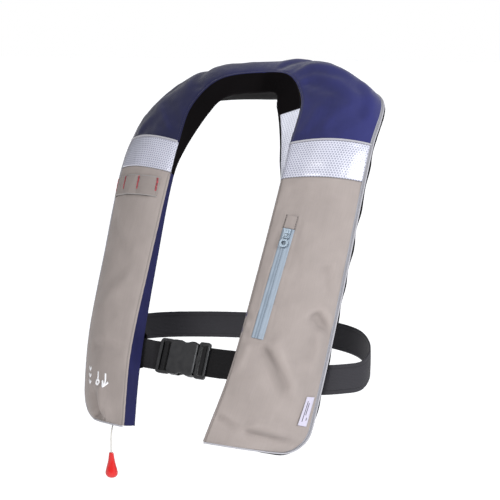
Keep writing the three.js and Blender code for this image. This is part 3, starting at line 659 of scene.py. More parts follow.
def jacket_piece(
    name: str,
    bm: bmesh.types.BMesh,
    material: bpy.types.Material,
    slot: str,
    nodes: Sequence[str] = (),
    thickness: float = 0.0,
) -> bpy.types.Object:
    """Makes a piece that rides on the jacket itself.

    Args:
        name: the piece's name.
        bm: its shape, which is freed.
        material: its finish.
        slot: handed on to settle, where it is not used.
        nodes: the CAD nodes it stands for.
        thickness: a sheet's thickness in millimetres, or 0 for a closed shape.

    Returns:
        The piece, settled.
    """
    piece = to_object(name, bm, material)
    if thickness:
        thickened(piece, thickness)
    return settle(piece, Body.JACKET, slot, nodes)


def swept_tube(path: Callable[[float], Vector], radius: float, steps: int, sides: int) -> bmesh.types.BMesh:
    """Makes a closed round cord along a path.

    Args:
        path: gives the point in metres for a parameter from 0 to 1.
        radius: the cord's radius in metres.
        steps: the number of stretches along the path.
        sides: the number of flat sides round it.

    Returns:
        The cord, with the distance round it and along it as UVs.
    """
    points = [path(t) for t in spread(0, 1, steps)]
    frames = []
    side = None
    for i, point in enumerate(points):
        heading = (points[min(i + 1, steps)] - points[max(i - 1, 0)]).normalized()
        if side is None:
            side = heading.orthogonal().normalized()
        side = (side - heading * side.dot(heading)).normalized()
        frames.append((point, side, heading.cross(side)))

    def place(row: float, turn: float, depth: float) -> Vector:
        """Returns a point of the cord for a step, a share of a turn and a depth."""
        point, a, b = frames[int(row)]
        angle = 2 * math.pi * turn
        return point + (a * math.cos(angle) + b * math.sin(angle)) * (radius - depth * MM)

    bm = grid_bmesh([float(i) for i in range(steps + 1)], spread(0, 1, sides), place)
    bmesh.ops.remove_doubles(bm, verts=bm.verts, dist=radius * 0.02)
    ends = [edge for edge in bm.edges if edge.is_boundary]
    bmesh.ops.holes_fill(bm, edges=ends, sides=0)
    bmesh.ops.recalc_face_normals(bm, faces=bm.faces)
    return bm


def joined(parts: Sequence[bmesh.types.BMesh]) -> bmesh.types.BMesh:
    """Returns one bmesh that holds all the parts, which are freed.

    Args:
        parts: the parts.

    Returns:
        The whole.
    """
    whole = bmesh.new()
    for part in parts:
        mesh = bpy.data.meshes.new("part")
        part.to_mesh(mesh)
        part.free()
        whole.from_mesh(mesh)
        bpy.data.meshes.remove(mesh)
    return whole


# ---------------------------------------------------------------- finishes

Colour = tuple[float, float, float]
Socket = bpy.types.NodeSocket


def srgb(code: str) -> Colour:
    """Returns the linear colour of a six-digit sRGB code."""
    values = [int(code[i : i + 2], 16) / 255 for i in (0, 2, 4)]
    return tuple(v / 12.92 if v <= 0.04045 else ((v + 0.055) / 1.055) ** 2.4 for v in values)


def shaded(colour: Colour, share: float) -> Colour:
    """Returns the colour made lighter or darker by share."""
    return tuple(clamp(v * share) for v in colour)


class Nodes:
    """One material's node tree, with short calls for its maths."""

    def __init__(self, name: str) -> None:
        """Makes an empty material of that name round its shader.

        Args:
            name: the material's name.
        """
        self.material = bpy.data.materials.new(name)
        self.material.use_nodes = True
        self.tree = self.material.node_tree
        self.shader = next(n for n in self.tree.nodes if n.type == "BSDF_PRINCIPLED")

    def add(self, kind: str, inputs: dict, **settings: object) -> bpy.types.Node:
        """Adds a node, sets its properties, and links or sets its inputs.

        Args:
            kind: the node's type.
            inputs: values or sockets for its inputs.
            settings: its properties.

        Returns:
            The node.
        """
        node = self.tree.nodes.new(kind)
        for key, value in settings.items():
            setattr(node, key, value)
        for key, value in inputs.items():
            self.feed(node.inputs[key], value)
        return node

    def feed(self, socket: Socket, value: object) -> None:
        """Links a socket's value or sets it.

        Args:
            socket: the input.
            value: a socket to link, or the value to set.
        """
        if isinstance(value, bpy.types.NodeSocket):
            self.tree.links.new(value, socket)
        elif isinstance(value, tuple) and len(value) == 3 and socket.type == "RGBA":
            socket.default_value = (*value, 1.0)
        else:
            socket.default_value = value

    def maths(self, operation: str, *values: object) -> Socket:
        """Returns the result of a maths operation on numbers or sockets."""
        node = self.add("ShaderNodeMath", dict(enumerate(values)), operation=operation)
        return node.outputs[0]

    def times(self, a: object, b: object) -> Socket:
        """Returns a times b."""
        return self.maths("MULTIPLY", a, b)

    def plus(self, a: object, b: object) -> Socket:
        """Returns a plus b."""
        return self.maths("ADD", a, b)

    def minus(self, a: object, b: object) -> Socket:
        """Returns a minus b."""
        return self.maths("SUBTRACT", a, b)

    def noise(self, place: Socket, scale: float, detail: float = 3.0) -> Socket:
        """Returns a noise value from 0 to 1 at a place."""
        node = self.add("ShaderNodeTexNoise", {"Vector": place, "Scale": scale, "Detail": detail})
        return node.outputs[0]

    def ramp(self, value: Socket, low: float, high: float) -> Socket:
        """Returns value stretched so that low becomes 0 and high becomes 1, held between them."""
        node = self.add("ShaderNodeMapRange", {0: value, 1: low, 2: high, 3: 0.0, 4: 1.0})
        return node.outputs[0]

    def blend(self, share: object, a: object, b: object) -> Socket:
        """Returns a colour that is share of the way from a to b."""
        node = self.add("ShaderNodeMix", {0: share, 6: a, 7: b}, data_type="RGBA")
        return node.outputs[2]

    def mottled(
        self, value: Socket, colour: Colour, dark: float, light: float, low: float = 0.3, high: float = 0.7
    ) -> Socket:
        """Returns a colour that runs from its dark to its light share as value runs from low to high."""
        return self.blend(self.ramp(value, low, high), shaded(colour, dark), shaded(colour, light))

    def over(self, colour: Socket, shade: Colour, mask: Socket, share: float) -> Socket:
        """Returns colour with shade laid over it where mask is 1, at that share of its strength."""
        return self.blend(self.times(mask, share), colour, shade)

    def scatter(self, share: object, a: float, b: float) -> Socket:
        """Returns a number that is share of the way from a to b."""
        return self.add("ShaderNodeMix", {0: share, 2: a, 3: b}).outputs[0]

    def cloth_place(self) -> tuple[Socket, Socket, Socket]:
        """Returns the cloth's own coordinates in metres, whole, across and along.

        Returns:
            The whole place, the distance across and the distance along.
        """
        vector = self.add("ShaderNodeUVMap", {}, uv_map=CLOTH_UV).outputs[0]
        parts = self.add("ShaderNodeSeparateXYZ", {0: vector}).outputs
        return vector, parts[0], parts[1]

    def object_place(self) -> Socket:
        """Returns the object coordinates."""
        return self.add("ShaderNodeTexCoord", {}).outputs["Object"]

    def seam(self) -> Socket:
        """Returns the distance from the piece's nearest long edge, in metres."""
        return self.add("ShaderNodeAttribute", {}, attribute_name=SEAM_ATTRIBUTE).outputs["Fac"]

    def hollow(self) -> Socket:
        """Returns the piece's hollowness in metres, above 0 in its hollows and below 0 on its crests."""
        return self.add("ShaderNodeAttribute", {}, attribute_name=HOLLOW_ATTRIBUTE).outputs["Fac"]

    def wave(self, value: Socket, pitch: float) -> Socket:
        """Returns a wave from 0 to 1 that repeats every pitch metres."""
        turn = self.times(value, 2 * math.pi / pitch)
        return self.maths("MULTIPLY_ADD", self.maths("SINE", turn), 0.5, 0.5)

    def line(self, value: Socket, at: float, half: float) -> Socket:
        """Returns 1 where value is within half of at, in metres, and 0 elsewhere, with a soft border."""
        off = self.maths("ABSOLUTE", self.minus(value, at))
        return self.minus(1.0, self.ramp(off, half * 0.6, half * 1.3))

    def stitches(self, at: float, pitch: float = 0.0034) -> Socket:
        """Returns 1 on the stitches of a seam that runs at a distance from the piece's edge.

        Args:
            at: the seam's distance from the edge in metres.
            pitch: the length of a stitch and its gap in metres.

        Returns:
            The mask.
        """
        _, _, along = self.cloth_place()
        part = self.maths("FRACT", self.maths("DIVIDE", along, pitch))
        dash = self.times(self.ramp(part, 0.0, 0.12), self.ramp(part, 0.82, 0.68))
        return self.times(self.line(self.seam(), at, 0.00035), dash)

    def finish(
        self,
        colour: object,
        roughness: object,
        height: object = None,
        relief: float = 0.0003,
        **fixed: object,
    ) -> bpy.types.Material:
        """Feeds the shader and returns the material.

        Args:
            colour: the base colour.
            roughness: the roughness.
            height: the relief's height, from 0 to 1.
            relief: the relief's depth in metres.
            fixed: values set on the shader's own sockets, with underscores for spaces.
        """
        self.feed(self.shader.inputs["Base Color"], colour)
        self.feed(self.shader.inputs["Roughness"], roughness)
        for key, value in fixed.items():
            self.feed(self.shader.inputs[key.replace("_", " ")], value)
        if height is not None:
            bump = self.add("ShaderNodeBump", {"Height": height, "Distance": relief, "Strength": 1.0})
            self.feed(self.shader.inputs["Normal"], bump.outputs[0])
        return self.material


@dataclass(frozen=True)
class Weave:
    """A woven cloth: its colour, the pitch of its yarns in metres, and how strongly they show.

    gloss is its mirror-like share, and painted_light how strongly painted shade darkens it towards its far
    end and a painted highlight brightens it towards its outer edge. stitch_at holds the distances in metres
    from its long edges where it is stitched with thread.
    """

    name: str
    colour: Colour
    yarn: float = 0.0011
    relief: float = 0.00016
    mottle: float = 0.10
    roughness: float = 0.82
    sheen: float = 0.10
    gloss: float = 0.22
    painted_light: float = 0.0
    stitch_at: tuple[float, ...] = ()
    thread: Colour = (0.3, 0.3, 0.3)

    def make(self) -> bpy.types.Material:
        """Makes the cloth's material.

        Returns:
            The material.
        """
        n = Nodes(self.name)
        place, across, along = n.cloth_place()
        warp, weft = n.wave(across, self.yarn), n.wave(along, self.yarn)
        swap = n.wave(n.plus(across, along), self.yarn * 2)
        weave = n.plus(n.times(warp, swap), n.times(weft, n.minus(1.0, swap)))
        fuzz = n.noise(place, 900.0, 2.0)
        cloud = n.noise(place, 22.0, 4.0)
        slub = n.noise(n.add("ShaderNodeMapping", {0: place, 3: (1.0, 0.04, 1.0)}).outputs[0], 700.0, 2.0)
        tone = n.plus(n.times(cloud, 0.75), n.times(slub, 0.25))
        colour = n.mottled(tone, self.colour, 1 - self.mottle, 1 + self.mottle)
        colour = n.over(colour, shaded(self.colour, 0.82), weave, 0.35)
        height = n.plus(n.times(weave, 0.6), n.times(fuzz, 0.4))
        worn = n.line(n.seam(), 0.0004, 0.0011)
        colour = n.over(colour, shaded(self.thread, 1.35), worn, 0.35)
        for at in self.stitch_at:
            stitch = n.stitches(at)
            ditch = n.line(n.seam(), at, 0.0011)
            # painted shade in the sunken groove along the stitches
            colour = n.over(colour, shaded(self.colour, 0.6), ditch, 0.25)
            colour = n.blend(stitch, colour, self.thread)
            height = n.minus(height, n.times(ditch, 2.0))
            height = n.plus(height, n.times(stitch, 3.0))
        # painted light: painted shade towards the far end and a painted highlight towards the outer edge
        if self.painted_light:
            away = n.ramp(along, 0.22, 0.40)
            toward = n.times(n.ramp(across, 0.045, 0.105), n.minus(1.0, away))
            colour = n.over(colour, shaded(self.colour, 0.3), away, self.painted_light)
            colour = n.over(colour, shaded(self.colour, 1.5), toward, self.painted_light)
        hollow = n.hollow()
        # painted shade darkens the cloth in its hollows and a painted highlight lightens its crests
        colour = n.over(colour, shaded(self.colour, 0.5), n.ramp(hollow, 0.0001, 0.0018), 0.26)
        colour = n.over(colour, shaded(self.colour, 1.5), n.ramp(hollow, -0.0004, -0.0020), 0.14)
        rough = n.scatter(cloud, self.roughness - 0.08, self.roughness + 0.06)
        fixed = {"Sheen_Weight": self.sheen, "Sheen_Roughness": 0.45, "Specular_IOR_Level": self.gloss}
        return n.finish(colour, rough, height, self.relief, **fixed)


@dataclass(frozen=True)
class RetroTape:
    """Sewn retro-reflective tape: a silvery film over a honeycomb of small sealed cells."""

    name: str
    colour: Colour
    dot: Colour
    pitch: float = 0.0040

    def make(self) -> bpy.types.Material:
        """Makes the tape's material.

        Returns:
            The material.
        """
        n = Nodes(self.name)
        place, across, along = n.cloth_place()
        marks = [self.lattice(n, across, along, shift) for shift in (0.0, 0.5)]
        nearest = n.maths("MINIMUM", *marks)
        dots = n.ramp(nearest, 0.24, 0.15)
        rim = n.ramp(nearest, 0.36, 0.46)
        cloud = n.noise(place, 35.0, 4.0)
        colour = n.mottled(cloud, self.colour, 0.90, 1.06, high=0.75)
        colour = n.over(colour, self.dot, dots, 0.8)
        colour = n.over(colour, (0.95, 0.96, 1.0), rim, 0.35)
        edge = n.line(n.seam(), 0.0, 0.0022)
        colour = n.over(colour, shaded(self.colour, 0.62), edge, 0.4)
        height = n.minus(n.times(rim, 0.8), n.times(dots, 0.5))
        height = n.plus(height, n.times(n.noise(place, 120.0, 3.0), 1.4))
        rough = n.scatter(cloud, 0.24, 0.40)
        return n.finish(colour, rough, height, 0.00014, Metallic=0.0, Coat_Weight=0.7, Coat_Roughness=0.16)

    def lattice(self, n: Nodes, across: Socket, along: Socket, shift: float) -> Socket:
        """Returns the distance, in pitches, to the nearest dot of one of the two lattices.

        Args:
            n: the material's nodes.
            across: the distance across in metres.
            along: the distance along in metres.
            shift: the lattice's shift in pitches.

        Returns:
            The distance.
        """
        parts = []
        for value, step in ((across, self.pitch), (along, self.pitch * math.sqrt(3))):
            share = n.maths("FRACT", n.plus(n.maths("DIVIDE", value, step), shift))
            parts.append(n.times(n.minus(share, 0.5), step / self.pitch))
        squares = [n.times(part, part) for part in parts]
        return n.maths("SQRT", n.plus(*squares))


@dataclass(frozen=True)
class Webbing:
    """Narrow woven belt webbing with ribs along it and a pair of darker edge lines.

    painted_shade_after is the distance along it, in metres, past which painted shade darkens it, or 0 where
    it has no painted shade.
    """

    name: str
    colour: Colour
    width: float = 0.040
    rib: float = 0.0021
    edge_line: float = 0.0055
    painted_shade_after: float = 0.0

    def make(self) -> bpy.types.Material:
        """Makes the webbing's material.

        Returns:
            The material.
        """
        n = Nodes(self.name)
        place, across, along = n.cloth_place()
        rib = n.wave(across, self.rib)
        slant = n.wave(n.plus(n.times(across, 0.6), along), 0.0013)
        fuzz = n.noise(place, 600.0, 3.0)
        cloud = n.noise(place, 18.0, 3.0)
        colour = n.mottled(cloud, self.colour, 0.86, 1.14)
        colour = n.blend(n.times(rib, 0.30), shaded(self.colour, 0.62), colour)
        colour = n.over(colour, shaded(self.colour, 1.7), slant, 0.18)
        # painted shade on the belt's last stretch, in front beside the buckle
        if self.painted_shade_after:
            shade = n.ramp(along, self.painted_shade_after - 0.03, self.painted_shade_after)
            colour = n.over(colour, SHADED_WEBBING, shade, 0.75)
        line = n.line(n.seam(), self.edge_line, 0.0006)
        colour = n.over(colour, shaded(self.colour, 0.4), line, 0.55)
        height = n.plus(n.times(rib, 0.7), n.times(slant, 0.45))
        height = n.plus(height, n.times(fuzz, 0.3))
        height = n.minus(height, n.times(line, 0.8))
        fixed = {"Sheen_Weight": 0.08, "Sheen_Roughness": 0.4, "Specular_IOR_Level": 0.25}
        return n.finish(colour, n.scatter(fuzz, 0.62, 0.86), height, 0.00028, **fixed)


@dataclass(frozen=True)
class Braid:
    """A thin textile cord, braided or wrapped, whose strands wind round it."""

    name: str
    colour: Colour
    strand: float = 0.0012
    relief: float = 0.0003
    roughness: float = 0.7

    def make(self) -> bpy.types.Material:
        """Makes the cord's material.

        Returns:
            The material.
        """
        n = Nodes(self.name)
        place, across, along = n.cloth_place()
        one = n.wave(n.plus(along, across), self.strand)
        other = n.wave(n.minus(along, across), self.strand)
        height = n.maths("MAXIMUM", one, n.times(other, 0.9))
        fuzz = n.noise(place, 800.0, 2.0)
        colour = n.blend(height, shaded(self.colour, 0.66), self.colour)
        colour = n.over(colour, shaded(self.colour, 1.25), fuzz, 0.25)
        rough = n.scatter(fuzz, self.roughness - 0.08, self.roughness + 0.08)
        return n.finish(colour, rough, height, self.relief, Sheen_Weight=0.2, Sheen_Roughness=0.5)


@dataclass(frozen=True)
class CoatedTape:
    """Water-tight zip tape: a smooth film over the coil, with a slit down its middle."""

    name: str
    colour: Colour
    width: float

    def make(self) -> bpy.types.Material:
        """Makes the tape's material.

        Returns:
            The material.
        """
        n = Nodes(self.name)
        place, across, along = n.cloth_place()
        middle = n.line(across, self.width / 2, 0.0034)
        slit = n.line(across, self.width / 2, 0.00035)
        coil = n.wave(along, 0.0015)
        teeth = n.times(coil, middle)
        cloud = n.noise(place, 40.0, 4.0)
        grain = n.noise(place, 1500.0, 2.0)
        colour = n.mottled(cloud, self.colour, 0.93, 1.07)
        colour = n.over(colour, shaded(self.colour, 0.8), teeth, 0.16)
        colour = n.over(colour, shaded(self.colour, 0.55), slit, 0.5)
        height = n.plus(n.times(teeth, 0.8), n.times(grain, 0.25))
        height = n.minus(height, n.times(slit, 2.0))
        rough = n.scatter(cloud, 0.42, 0.56)
        return n.finish(colour, rough, height, 0.00016, Coat_Weight=0.15, Coat_Roughness=0.4)


@dataclass(frozen=True)
class Moulded:
    """Injection-moulded plastic or rubber with a fine spark-eroded grain."""

    name: str
    colour: Colour
    roughness: float = 0.42
    grain: float = 1400.0
    relief: float = 0.00005
    coat: float = 0.0

    def make(self) -> bpy.types.Material:
        """Makes the plastic's material.

        Returns:
            The material.
        """
        n = Nodes(self.name)
        place = n.object_place()
        speckle = n.noise(place, self.grain, 3.0)
        cloud = n.noise(place, 30.0, 4.0)
        colour = n.mottled(cloud, self.colour, 0.88, 1.14)
        wear = n.ramp(n.noise(place, 160.0, 4.0), 0.3, 0.7)
        rough = n.scatter(wear, self.roughness - 0.07, self.roughness + 0.09)
        return n.finish(colour, rough, speckle, self.relief, Coat_Weight=self.coat, Coat_Roughness=0.08)


@dataclass(frozen=True)
class Metal:
    """Plated or drawn metal with fine scratches along one direction."""

    name: str
    colour: Colour
    roughness: float = 0.28

    def make(self) -> bpy.types.Material:
        """Makes the metal's material.

        Returns:
            The material.
        """
        n = Nodes(self.name)
        place = n.object_place()
        stretched = n.add("ShaderNodeMapping", {0: place, 3: (1.0, 1.0, 0.08)}).outputs[0]
        scratch = n.noise(stretched, 2200.0, 3.0)
        cloud = n.noise(place, 140.0, 4.0)
        colour = n.mottled(cloud, self.colour, 0.82, 1.0, high=0.75)
        rough = n.scatter(n.ramp(scratch, 0.3, 0.7), self.roughness - 0.08, self.roughness + 0.12)
        return n.finish(colour, rough, scratch, 0.00003, Metallic=1.0)


@dataclass(frozen=True)
class Film:
    """Heat-sealable coated bladder cloth with faint creases."""

    name: str
    colour: Colour

    def make(self) -> bpy.types.Material:
        """Makes the film's material.

        Returns:
            The material.
        """
        n = Nodes(self.name)
        place = n.cloth_place()[0]
        crease = n.noise(place, 60.0, 6.0)
        colour = n.mottled(crease, self.colour, 0.82, 1.08, 0.35, 0.65)
        rough = n.scatter(crease, 0.35, 0.6)
        return n.finish(colour, rough, crease, 0.0008, Coat_Weight=0.2, Coat_Roughness=0.3)


GREY = srgb("948b87")
NAVY = srgb("212352")
BLACK = srgb("0b090a")
SILVER = srgb("a5a6b6")
CHARCOAL = srgb("343338")
# a darker copy of the charcoal webbing: painted shade for the webbing in front
SHADED_WEBBING = srgb("141315")
PIPING_GREY = srgb("a6a5ab")
COVER_STITCH = (0.0032,)


class Palette:
    """Every finish of the jacket, made once."""

    def __init__(self) -> None:
        """Makes the materials."""
        self.grey = Weave("grey_fabric", GREY, stitch_at=COVER_STITCH, thread=shaded(GREY, 0.75)).make()
        self.garage = Weave("zip_garage_cloth", GREY, stitch_at=(0.0012,), thread=shaded(GREY, 0.3)).make()
        # the navy carries painted light: painted shade on the yoke's far side and a painted highlight at its
        # outer edge
        self.navy = Weave(
            "navy_fabric", NAVY, mottle=0.30, sheen=0.26, painted_light=0.8, stitch_at=COVER_STITCH, thread=NAVY
        ).make()
        self.gusset = Weave("gusset_fabric", srgb("1a1b45"), mottle=0.25, sheen=0.0, thread=NAVY).make()
        self.black = Weave(
            "black_fabric", BLACK, mottle=0.15, sheen=0.0, gloss=0.04, thread=shaded(BLACK, 2)
        ).make()
        self.strip = Weave("strip_webbing", shaded(GREY, 0.86), yarn=0.0016, relief=0.0003).make()
        self.pocket = Weave("pocket_lining", shaded(BLACK, 1.6), yarn=0.0009).make()
        self.label = Weave("label_weave", srgb("bdb9ca"), yarn=0.0007, mottle=0.04, relief=0.00008).make()
        # painted light: a lighter copy of the reflective tape, brightened against the shade of the neck-side
        # wall
        self.patch = RetroTape("inner_reflective_tape", srgb("cfd1de"), srgb("8a8c9e")).make()
        self.silver = RetroTape("reflective_tape", SILVER, srgb("66687a")).make()
        self.belt = Webbing("belt_webbing", CHARCOAL, painted_shade_after=0.78).make()
        # the short front strap and the turns round the buckle's bars take painted shade as their colour
        self.short_belt = Webbing("front_webbing", SHADED_WEBBING).make()
        self.piping = Braid("piping_wrap", PIPING_GREY, strand=0.0022, relief=0.0002).make()
        self.binding = Weave(
            "piping_flange", shaded(PIPING_GREY, 0.72), stitch_at=(0.0018,), thread=srgb("8e8e95")
        ).make()
        self.cord = Braid("release_line", srgb("c9c6bf"), strand=0.0016).make()
        self.red_thread = Braid("red_thread", srgb("cf3048"), strand=0.0005, relief=0.0001).make()
        self.lanyard = Braid("whistle_line", srgb("d8d4c8")).make()
        self.zip_tape = CoatedTape("coated_zip_tape", srgb("7f8c9a"), Pocket.WIDTH * MM).make()
        self.plastic = Moulded("black_plastic", srgb("1d1d1f"), 0.40).make()
        self.red = Moulded("red_plastic", srgb("c00402"), 0.36, grain=500.0, relief=0.00002, coat=0.4).make()
        self.green = Moulded("green_plastic", srgb("2fa04a")).make()
        self.white = Moulded("white_plastic", srgb("e8e8e4"), 0.5).make()
        self.rubber = Moulded("rubber", srgb("232325"), 0.66, grain=900.0).make()
        self.ink = Moulded("print_ink", srgb("e9e9ec"), 0.55, grain=2400.0).make()
        self.steel = Metal("plated_steel", srgb("c3c8ce")).make()
        self.zip_metal = Metal("zip_metal", srgb("8d9aa6"), 0.38).make()
        self.bladder = Film("bladder_film", srgb("e6d326")).make()


# ---------------------------------------------------------------- the collar


def rows_between(low: float, high: float, pitch: float = 2.4) -> list[float]:
    """Returns stations from low to high, about pitch millimetres apart, closer in a lobe's rounded corner.

    Args:
        low: the first station.
        high: the last station.
        pitch: the distance between rows in millimetres.

    Returns:
        The stations, sorted.
    """
    length = abs(COLLAR.run(high) - COLLAR.run(low))
    rows = {round(s, 4) for s in spread(low, high, max(int(length / pitch), 4))}
    for angle in spread(0, 90, 14):
        step = COLLAR.corner_stations * (1 - math.cos(math.radians(angle)))
        rows |= {round(s, 4) for s in (step, END - step) if low < s < high}
    return sorted(rows)


COVER_RIPPLE = 0.9
COVER_SEEDS = {"left": 1.0, "right": 21.0}
COVER_FILL = 0.45
YOKE_CROWN = 3.4
YOKE_FILL = 0.6
COLUMNS = [0.0, 0.008, 0.018, 0.03, 0.045, *spread(0.065, 0.935, 42), 0.955, 0.97, 0.982, 0.992, 1.0]


@dataclass
class CollarCloth:
    """The cloth panels of the collar: covers, bands, yoke, walls, back, and the corded edges."""

    palette: Palette
    thickness: float = 1.2
    drop: float = 1.5

    def build(self) -> None:
        """Builds every panel."""
        self.cover("left", LEFT_FOLDS)
        self.cover("right", RIGHT_FOLDS)
        for side in ("left", "right"):
            self.band(side)
        self.yoke()
        self.walls()
        self.back()
        self.edges()

    def panel(
        self,
        name: str,
        nodes: Sequence[str],
        slot: str,
        material: bpy.types.Material,
        rows: Sequence[float],
        columns: Sequence[float],
        place: Place,
        fill: float | None = None,
    ) -> bpy.types.Object:
        """Builds one panel with its thickness, settles it on the jacket and returns it.

        Args:
            name: the piece's name.
            nodes: the CAD nodes it stands for.
            slot: handed on to jacket_piece, where it is not used.
            material: its finish.
            rows: the values for its rows.
            columns: the values for its columns.
            place: gives a point for a row value, a column value and a depth.
            fill: not used.

        Returns:
            The piece.
        """
        sheet = grid_bmesh(rows, columns, place)
        piece = jacket_piece(name, sheet, material, slot, nodes, self.thickness)
        return piece

    def front_place(self, folds: Folds, low: float, high: float, base: float = 0.0) -> Place:
        """Returns the place function of a front panel between two stations, with folds and rolled edges.

        Args:
            folds: the folds.
            low: the first station.
            high: the last station.
            base: the lift of the whole panel in millimetres.

        Returns:
            The place function.
        """

        def place(s: float, u: float, depth: float) -> Vector:
            """Returns a point of the panel."""
            flat = COLLAR.flat(s, u)
            width = COLLAR.section(s).width
            side = min(flat.x, width - flat.x)
            end = min(abs(flat.y - COLLAR.mid_length(low)), abs(COLLAR.mid_length(high) - flat.y))
            calm = smooth(side, 0, 9) * smooth(end, 0, 8)
            crown = YOKE_CROWN * smooth(min(s, END - s), 4.3, 6.0) * math.sin(math.pi * clamp(u)) ** 0.6
            lift = base + crown + folds.lift(flat) * (0.25 + 0.75 * calm)
            lift += rolled(side, self.drop) + rolled(end, 0.6, 2.5)
            lift += puckered(side, flat.y) + puckered(end, flat.x * 1.3, 0.2)
            return COLLAR.front(s, u, depth - lift)

        return place

    def cover(self, side: str, folds: Sequence[Fold]) -> None:
        """Builds a lobe's grey front cover, flattened round the pocket zip on the left one.

        Args:
            side: the wearer's side, left or right.
            folds: the folds.
        """
        low, high = (0.0, BAND[0]) if side == "left" else (END - BAND[0], END)
        base = self.front_place(Folds(folds, COVER_RIPPLE, COVER_SEEDS[side]), low, high)

        def place(s: float, u: float, depth: float) -> Vector:
            """Returns a point of the cover."""
            point = base(s, u, 0.0)
            if side == "left":
                point = POCKET.pressed(point)
            return point - COLLAR.section(s).out * depth * MM

        name, nodes, grey = f"cover_cloth_{side}", [f"front_cover_{side}"], self.palette.grey
        rows = rows_between(low, high)
        self.panel(name, nodes, "grey_fabric", grey, rows, COLUMNS, place, COVER_FILL)

    def band(self, side: str) -> None:
        """Builds a shoulder's reflective band and the corded seam above it.

        Args:
            side: the wearer's side, left or right.
        """
        low, high = BAND if side == "left" else (END - BAND[1], END - BAND[0])
        place = self.front_place(Folds((), 0.8, 40.0 + low), low, high, 0.35)
        rows = rows_between(low + 0.004, high - 0.004, 2.0)
        name, nodes, silver = f"band_cloth_{side}", [f"reflective_band_{side}"], self.palette.silver
        self.panel(name, nodes, "reflective", silver, rows, COLUMNS, place, COVER_FILL)
        station = BAND[1] if side == "left" else END - BAND[1]

        def seam(t: float) -> Vector:
            """Returns a point of the corded seam."""
            u = mix(0.012, 0.988, t)
            wobble = 0.25 * ripple(t * 14, station, 0)
            edge = rolled(min(u, 1 - u) * 110, self.drop)
            return COLLAR.front(station, u, -1.0 - edge - wobble)

        cord = swept_tube(seam, 1.5 * MM, 90, 14)
        jacket_piece(f"band_cord_{side}", cord, self.palette.piping, "piping", [f"band_piping_{side}"])

    def yoke(self) -> None:
        """Builds the navy cover over the neck."""
        low, high = BAND[1], END - BAND[1]
        place = self.front_place(Folds(YOKE_FOLDS, 1.3, 5.0), low, high)
        rows = rows_between(low + 0.012, high - 0.012)
        navy = self.palette.navy
        self.panel("yoke_cloth", ["yoke_cover"], "navy_fabric", navy, rows, COLUMNS, place, YOKE_FILL)

    def walls(self) -> None:
        """Builds the neck-side walls: gussets, reflective patch and lining."""
        p = self.palette
        spans = (
            ("gusset_cloth_left", "inner_gusset_left", "navy_fabric", p.gusset, 0.0, BAND[0]),
            ("patch_cloth", "inner_reflective_patch", "reflective", p.patch, BAND[0], PATCH_END),
            ("lining_cloth", "collar_lining", "black_fabric", p.black, PATCH_END, END - BAND[0]),
            ("gusset_cloth_right", "inner_gusset_right", "navy_fabric", p.gusset, END - BAND[0], END),
        )
        for name, node, slot, material, low, high in spans:
            place = self.wall_place(low, high)
            rows = rows_between(low + 0.004, high - 0.004)
            self.panel(name, [node], slot, material, rows, spread(0, 1, 16), place)
        for end, side in ((0.0, "left"), (END, "right")):
            self.bottom(end, side)

    def wall_place(self, low: float, high: float) -> Place:
        """Returns the place function of a neck-side wall between two stations.

        Args:
            low: the first station.
            high: the last station.

        Returns:
            The place function.
        """

        def place(s: float, v: float, depth: float) -> Vector:
            """Returns a point of the wall."""
            wall = COLLAR.section(s).wall
            along = COLLAR.run(s) * 0.75
            edge = min(v, 1 - v) * wall
            lift = 1.4 * ripple(along / 34, v * 1.2, 9.0) * smooth(edge, 0, 7)
            lift += 0.5 * ripple(along / 11, v * 2.0, 4.0) * smooth(edge, 0, 4)
            lift += rolled(edge, 0.3, 3.0) + puckered(edge, along, 0.35)
            return COLLAR.inner_wall(s, v, depth - lift)

        return place

    def bottom(self, end: float, side: str) -> None:
        """Builds the wall that closes a lobe's bottom.

        Args:
            end: the station of the lobe's bottom.
            side: the wearer's side, left or right.
        """

        def place(u: float, v: float, depth: float) -> Vector:
            """Returns a point of the lobe's bottom."""
            lift = 0.8 * math.sin(math.pi * v) * (0.6 + ripple(u * 6, end, 1.0))
            return COLLAR.bottom_wall(end, u, v, depth - lift)

        node = f"bottom_wall_{side}"
        rows = spread(0, 1, 60)
        material = self.palette.navy
        self.panel(f"bottom_cloth_{side}", [node], "navy_fabric", material, rows, spread(0, 1, 10), place)

    def back(self) -> None:
        """Builds the black body-side panel and the closure round the outer edge."""

        def panel(s: float, u: float, depth: float) -> Vector:
            """Returns a point of the body-side panel."""
            along = COLLAR.run(s)
            calm = smooth(min(u, 1 - u), 0, 0.08)
            lift = 0.9 * calm * ripple(u * 3.0, along / 40, 30.0)
            lift += rolled(min(u, 1 - u) * 110, 0.9, 4.0)
            low = 4.5 * smooth(u, 0.45, 0.8) * (1 - smooth(s, 0.0, 0.3))
            return COLLAR.back(s, u, depth - lift) - COLLAR.section(s).along * low * MM

        def closure(s: float, v: float, depth: float) -> Vector:
            """Returns a point of the closure."""
            along = COLLAR.run(s)
            wave = 0.5 + 0.5 * ripple(along / 30, 0, 12.0) + 0.2 * math.sin(along / 9)
            bulge = (2.0 + 3.6 * clamp(wave, 0.0, 1.0)) * (1.0 if s < END / 2 else 0.35)
            return COLLAR.outer_wall(s, v, depth - bulge * math.sin(math.pi * mix(0.1, 0.9, v)) ** 0.7)

        p, rows = self.palette, rows_between(0, END, 3.0)
        self.panel("back_cloth", ["back_panel"], "black_fabric", p.black, rows, spread(0, 1, 40), panel)
        self.panel("closure_cloth", ["edge_closure"], "black_fabric", p.black, rows, spread(0, 1, 8), closure)

    def edges(self) -> None:
        """Builds the corded piping round the outer edge and the flange that is sewn beside it."""
        path = self.piping_path()
        cord = swept_tube(path.at, PIPING_R * MM, 900, 12)
        jacket_piece("edge_cord", cord, self.palette.piping, "piping", ["edge_piping"])

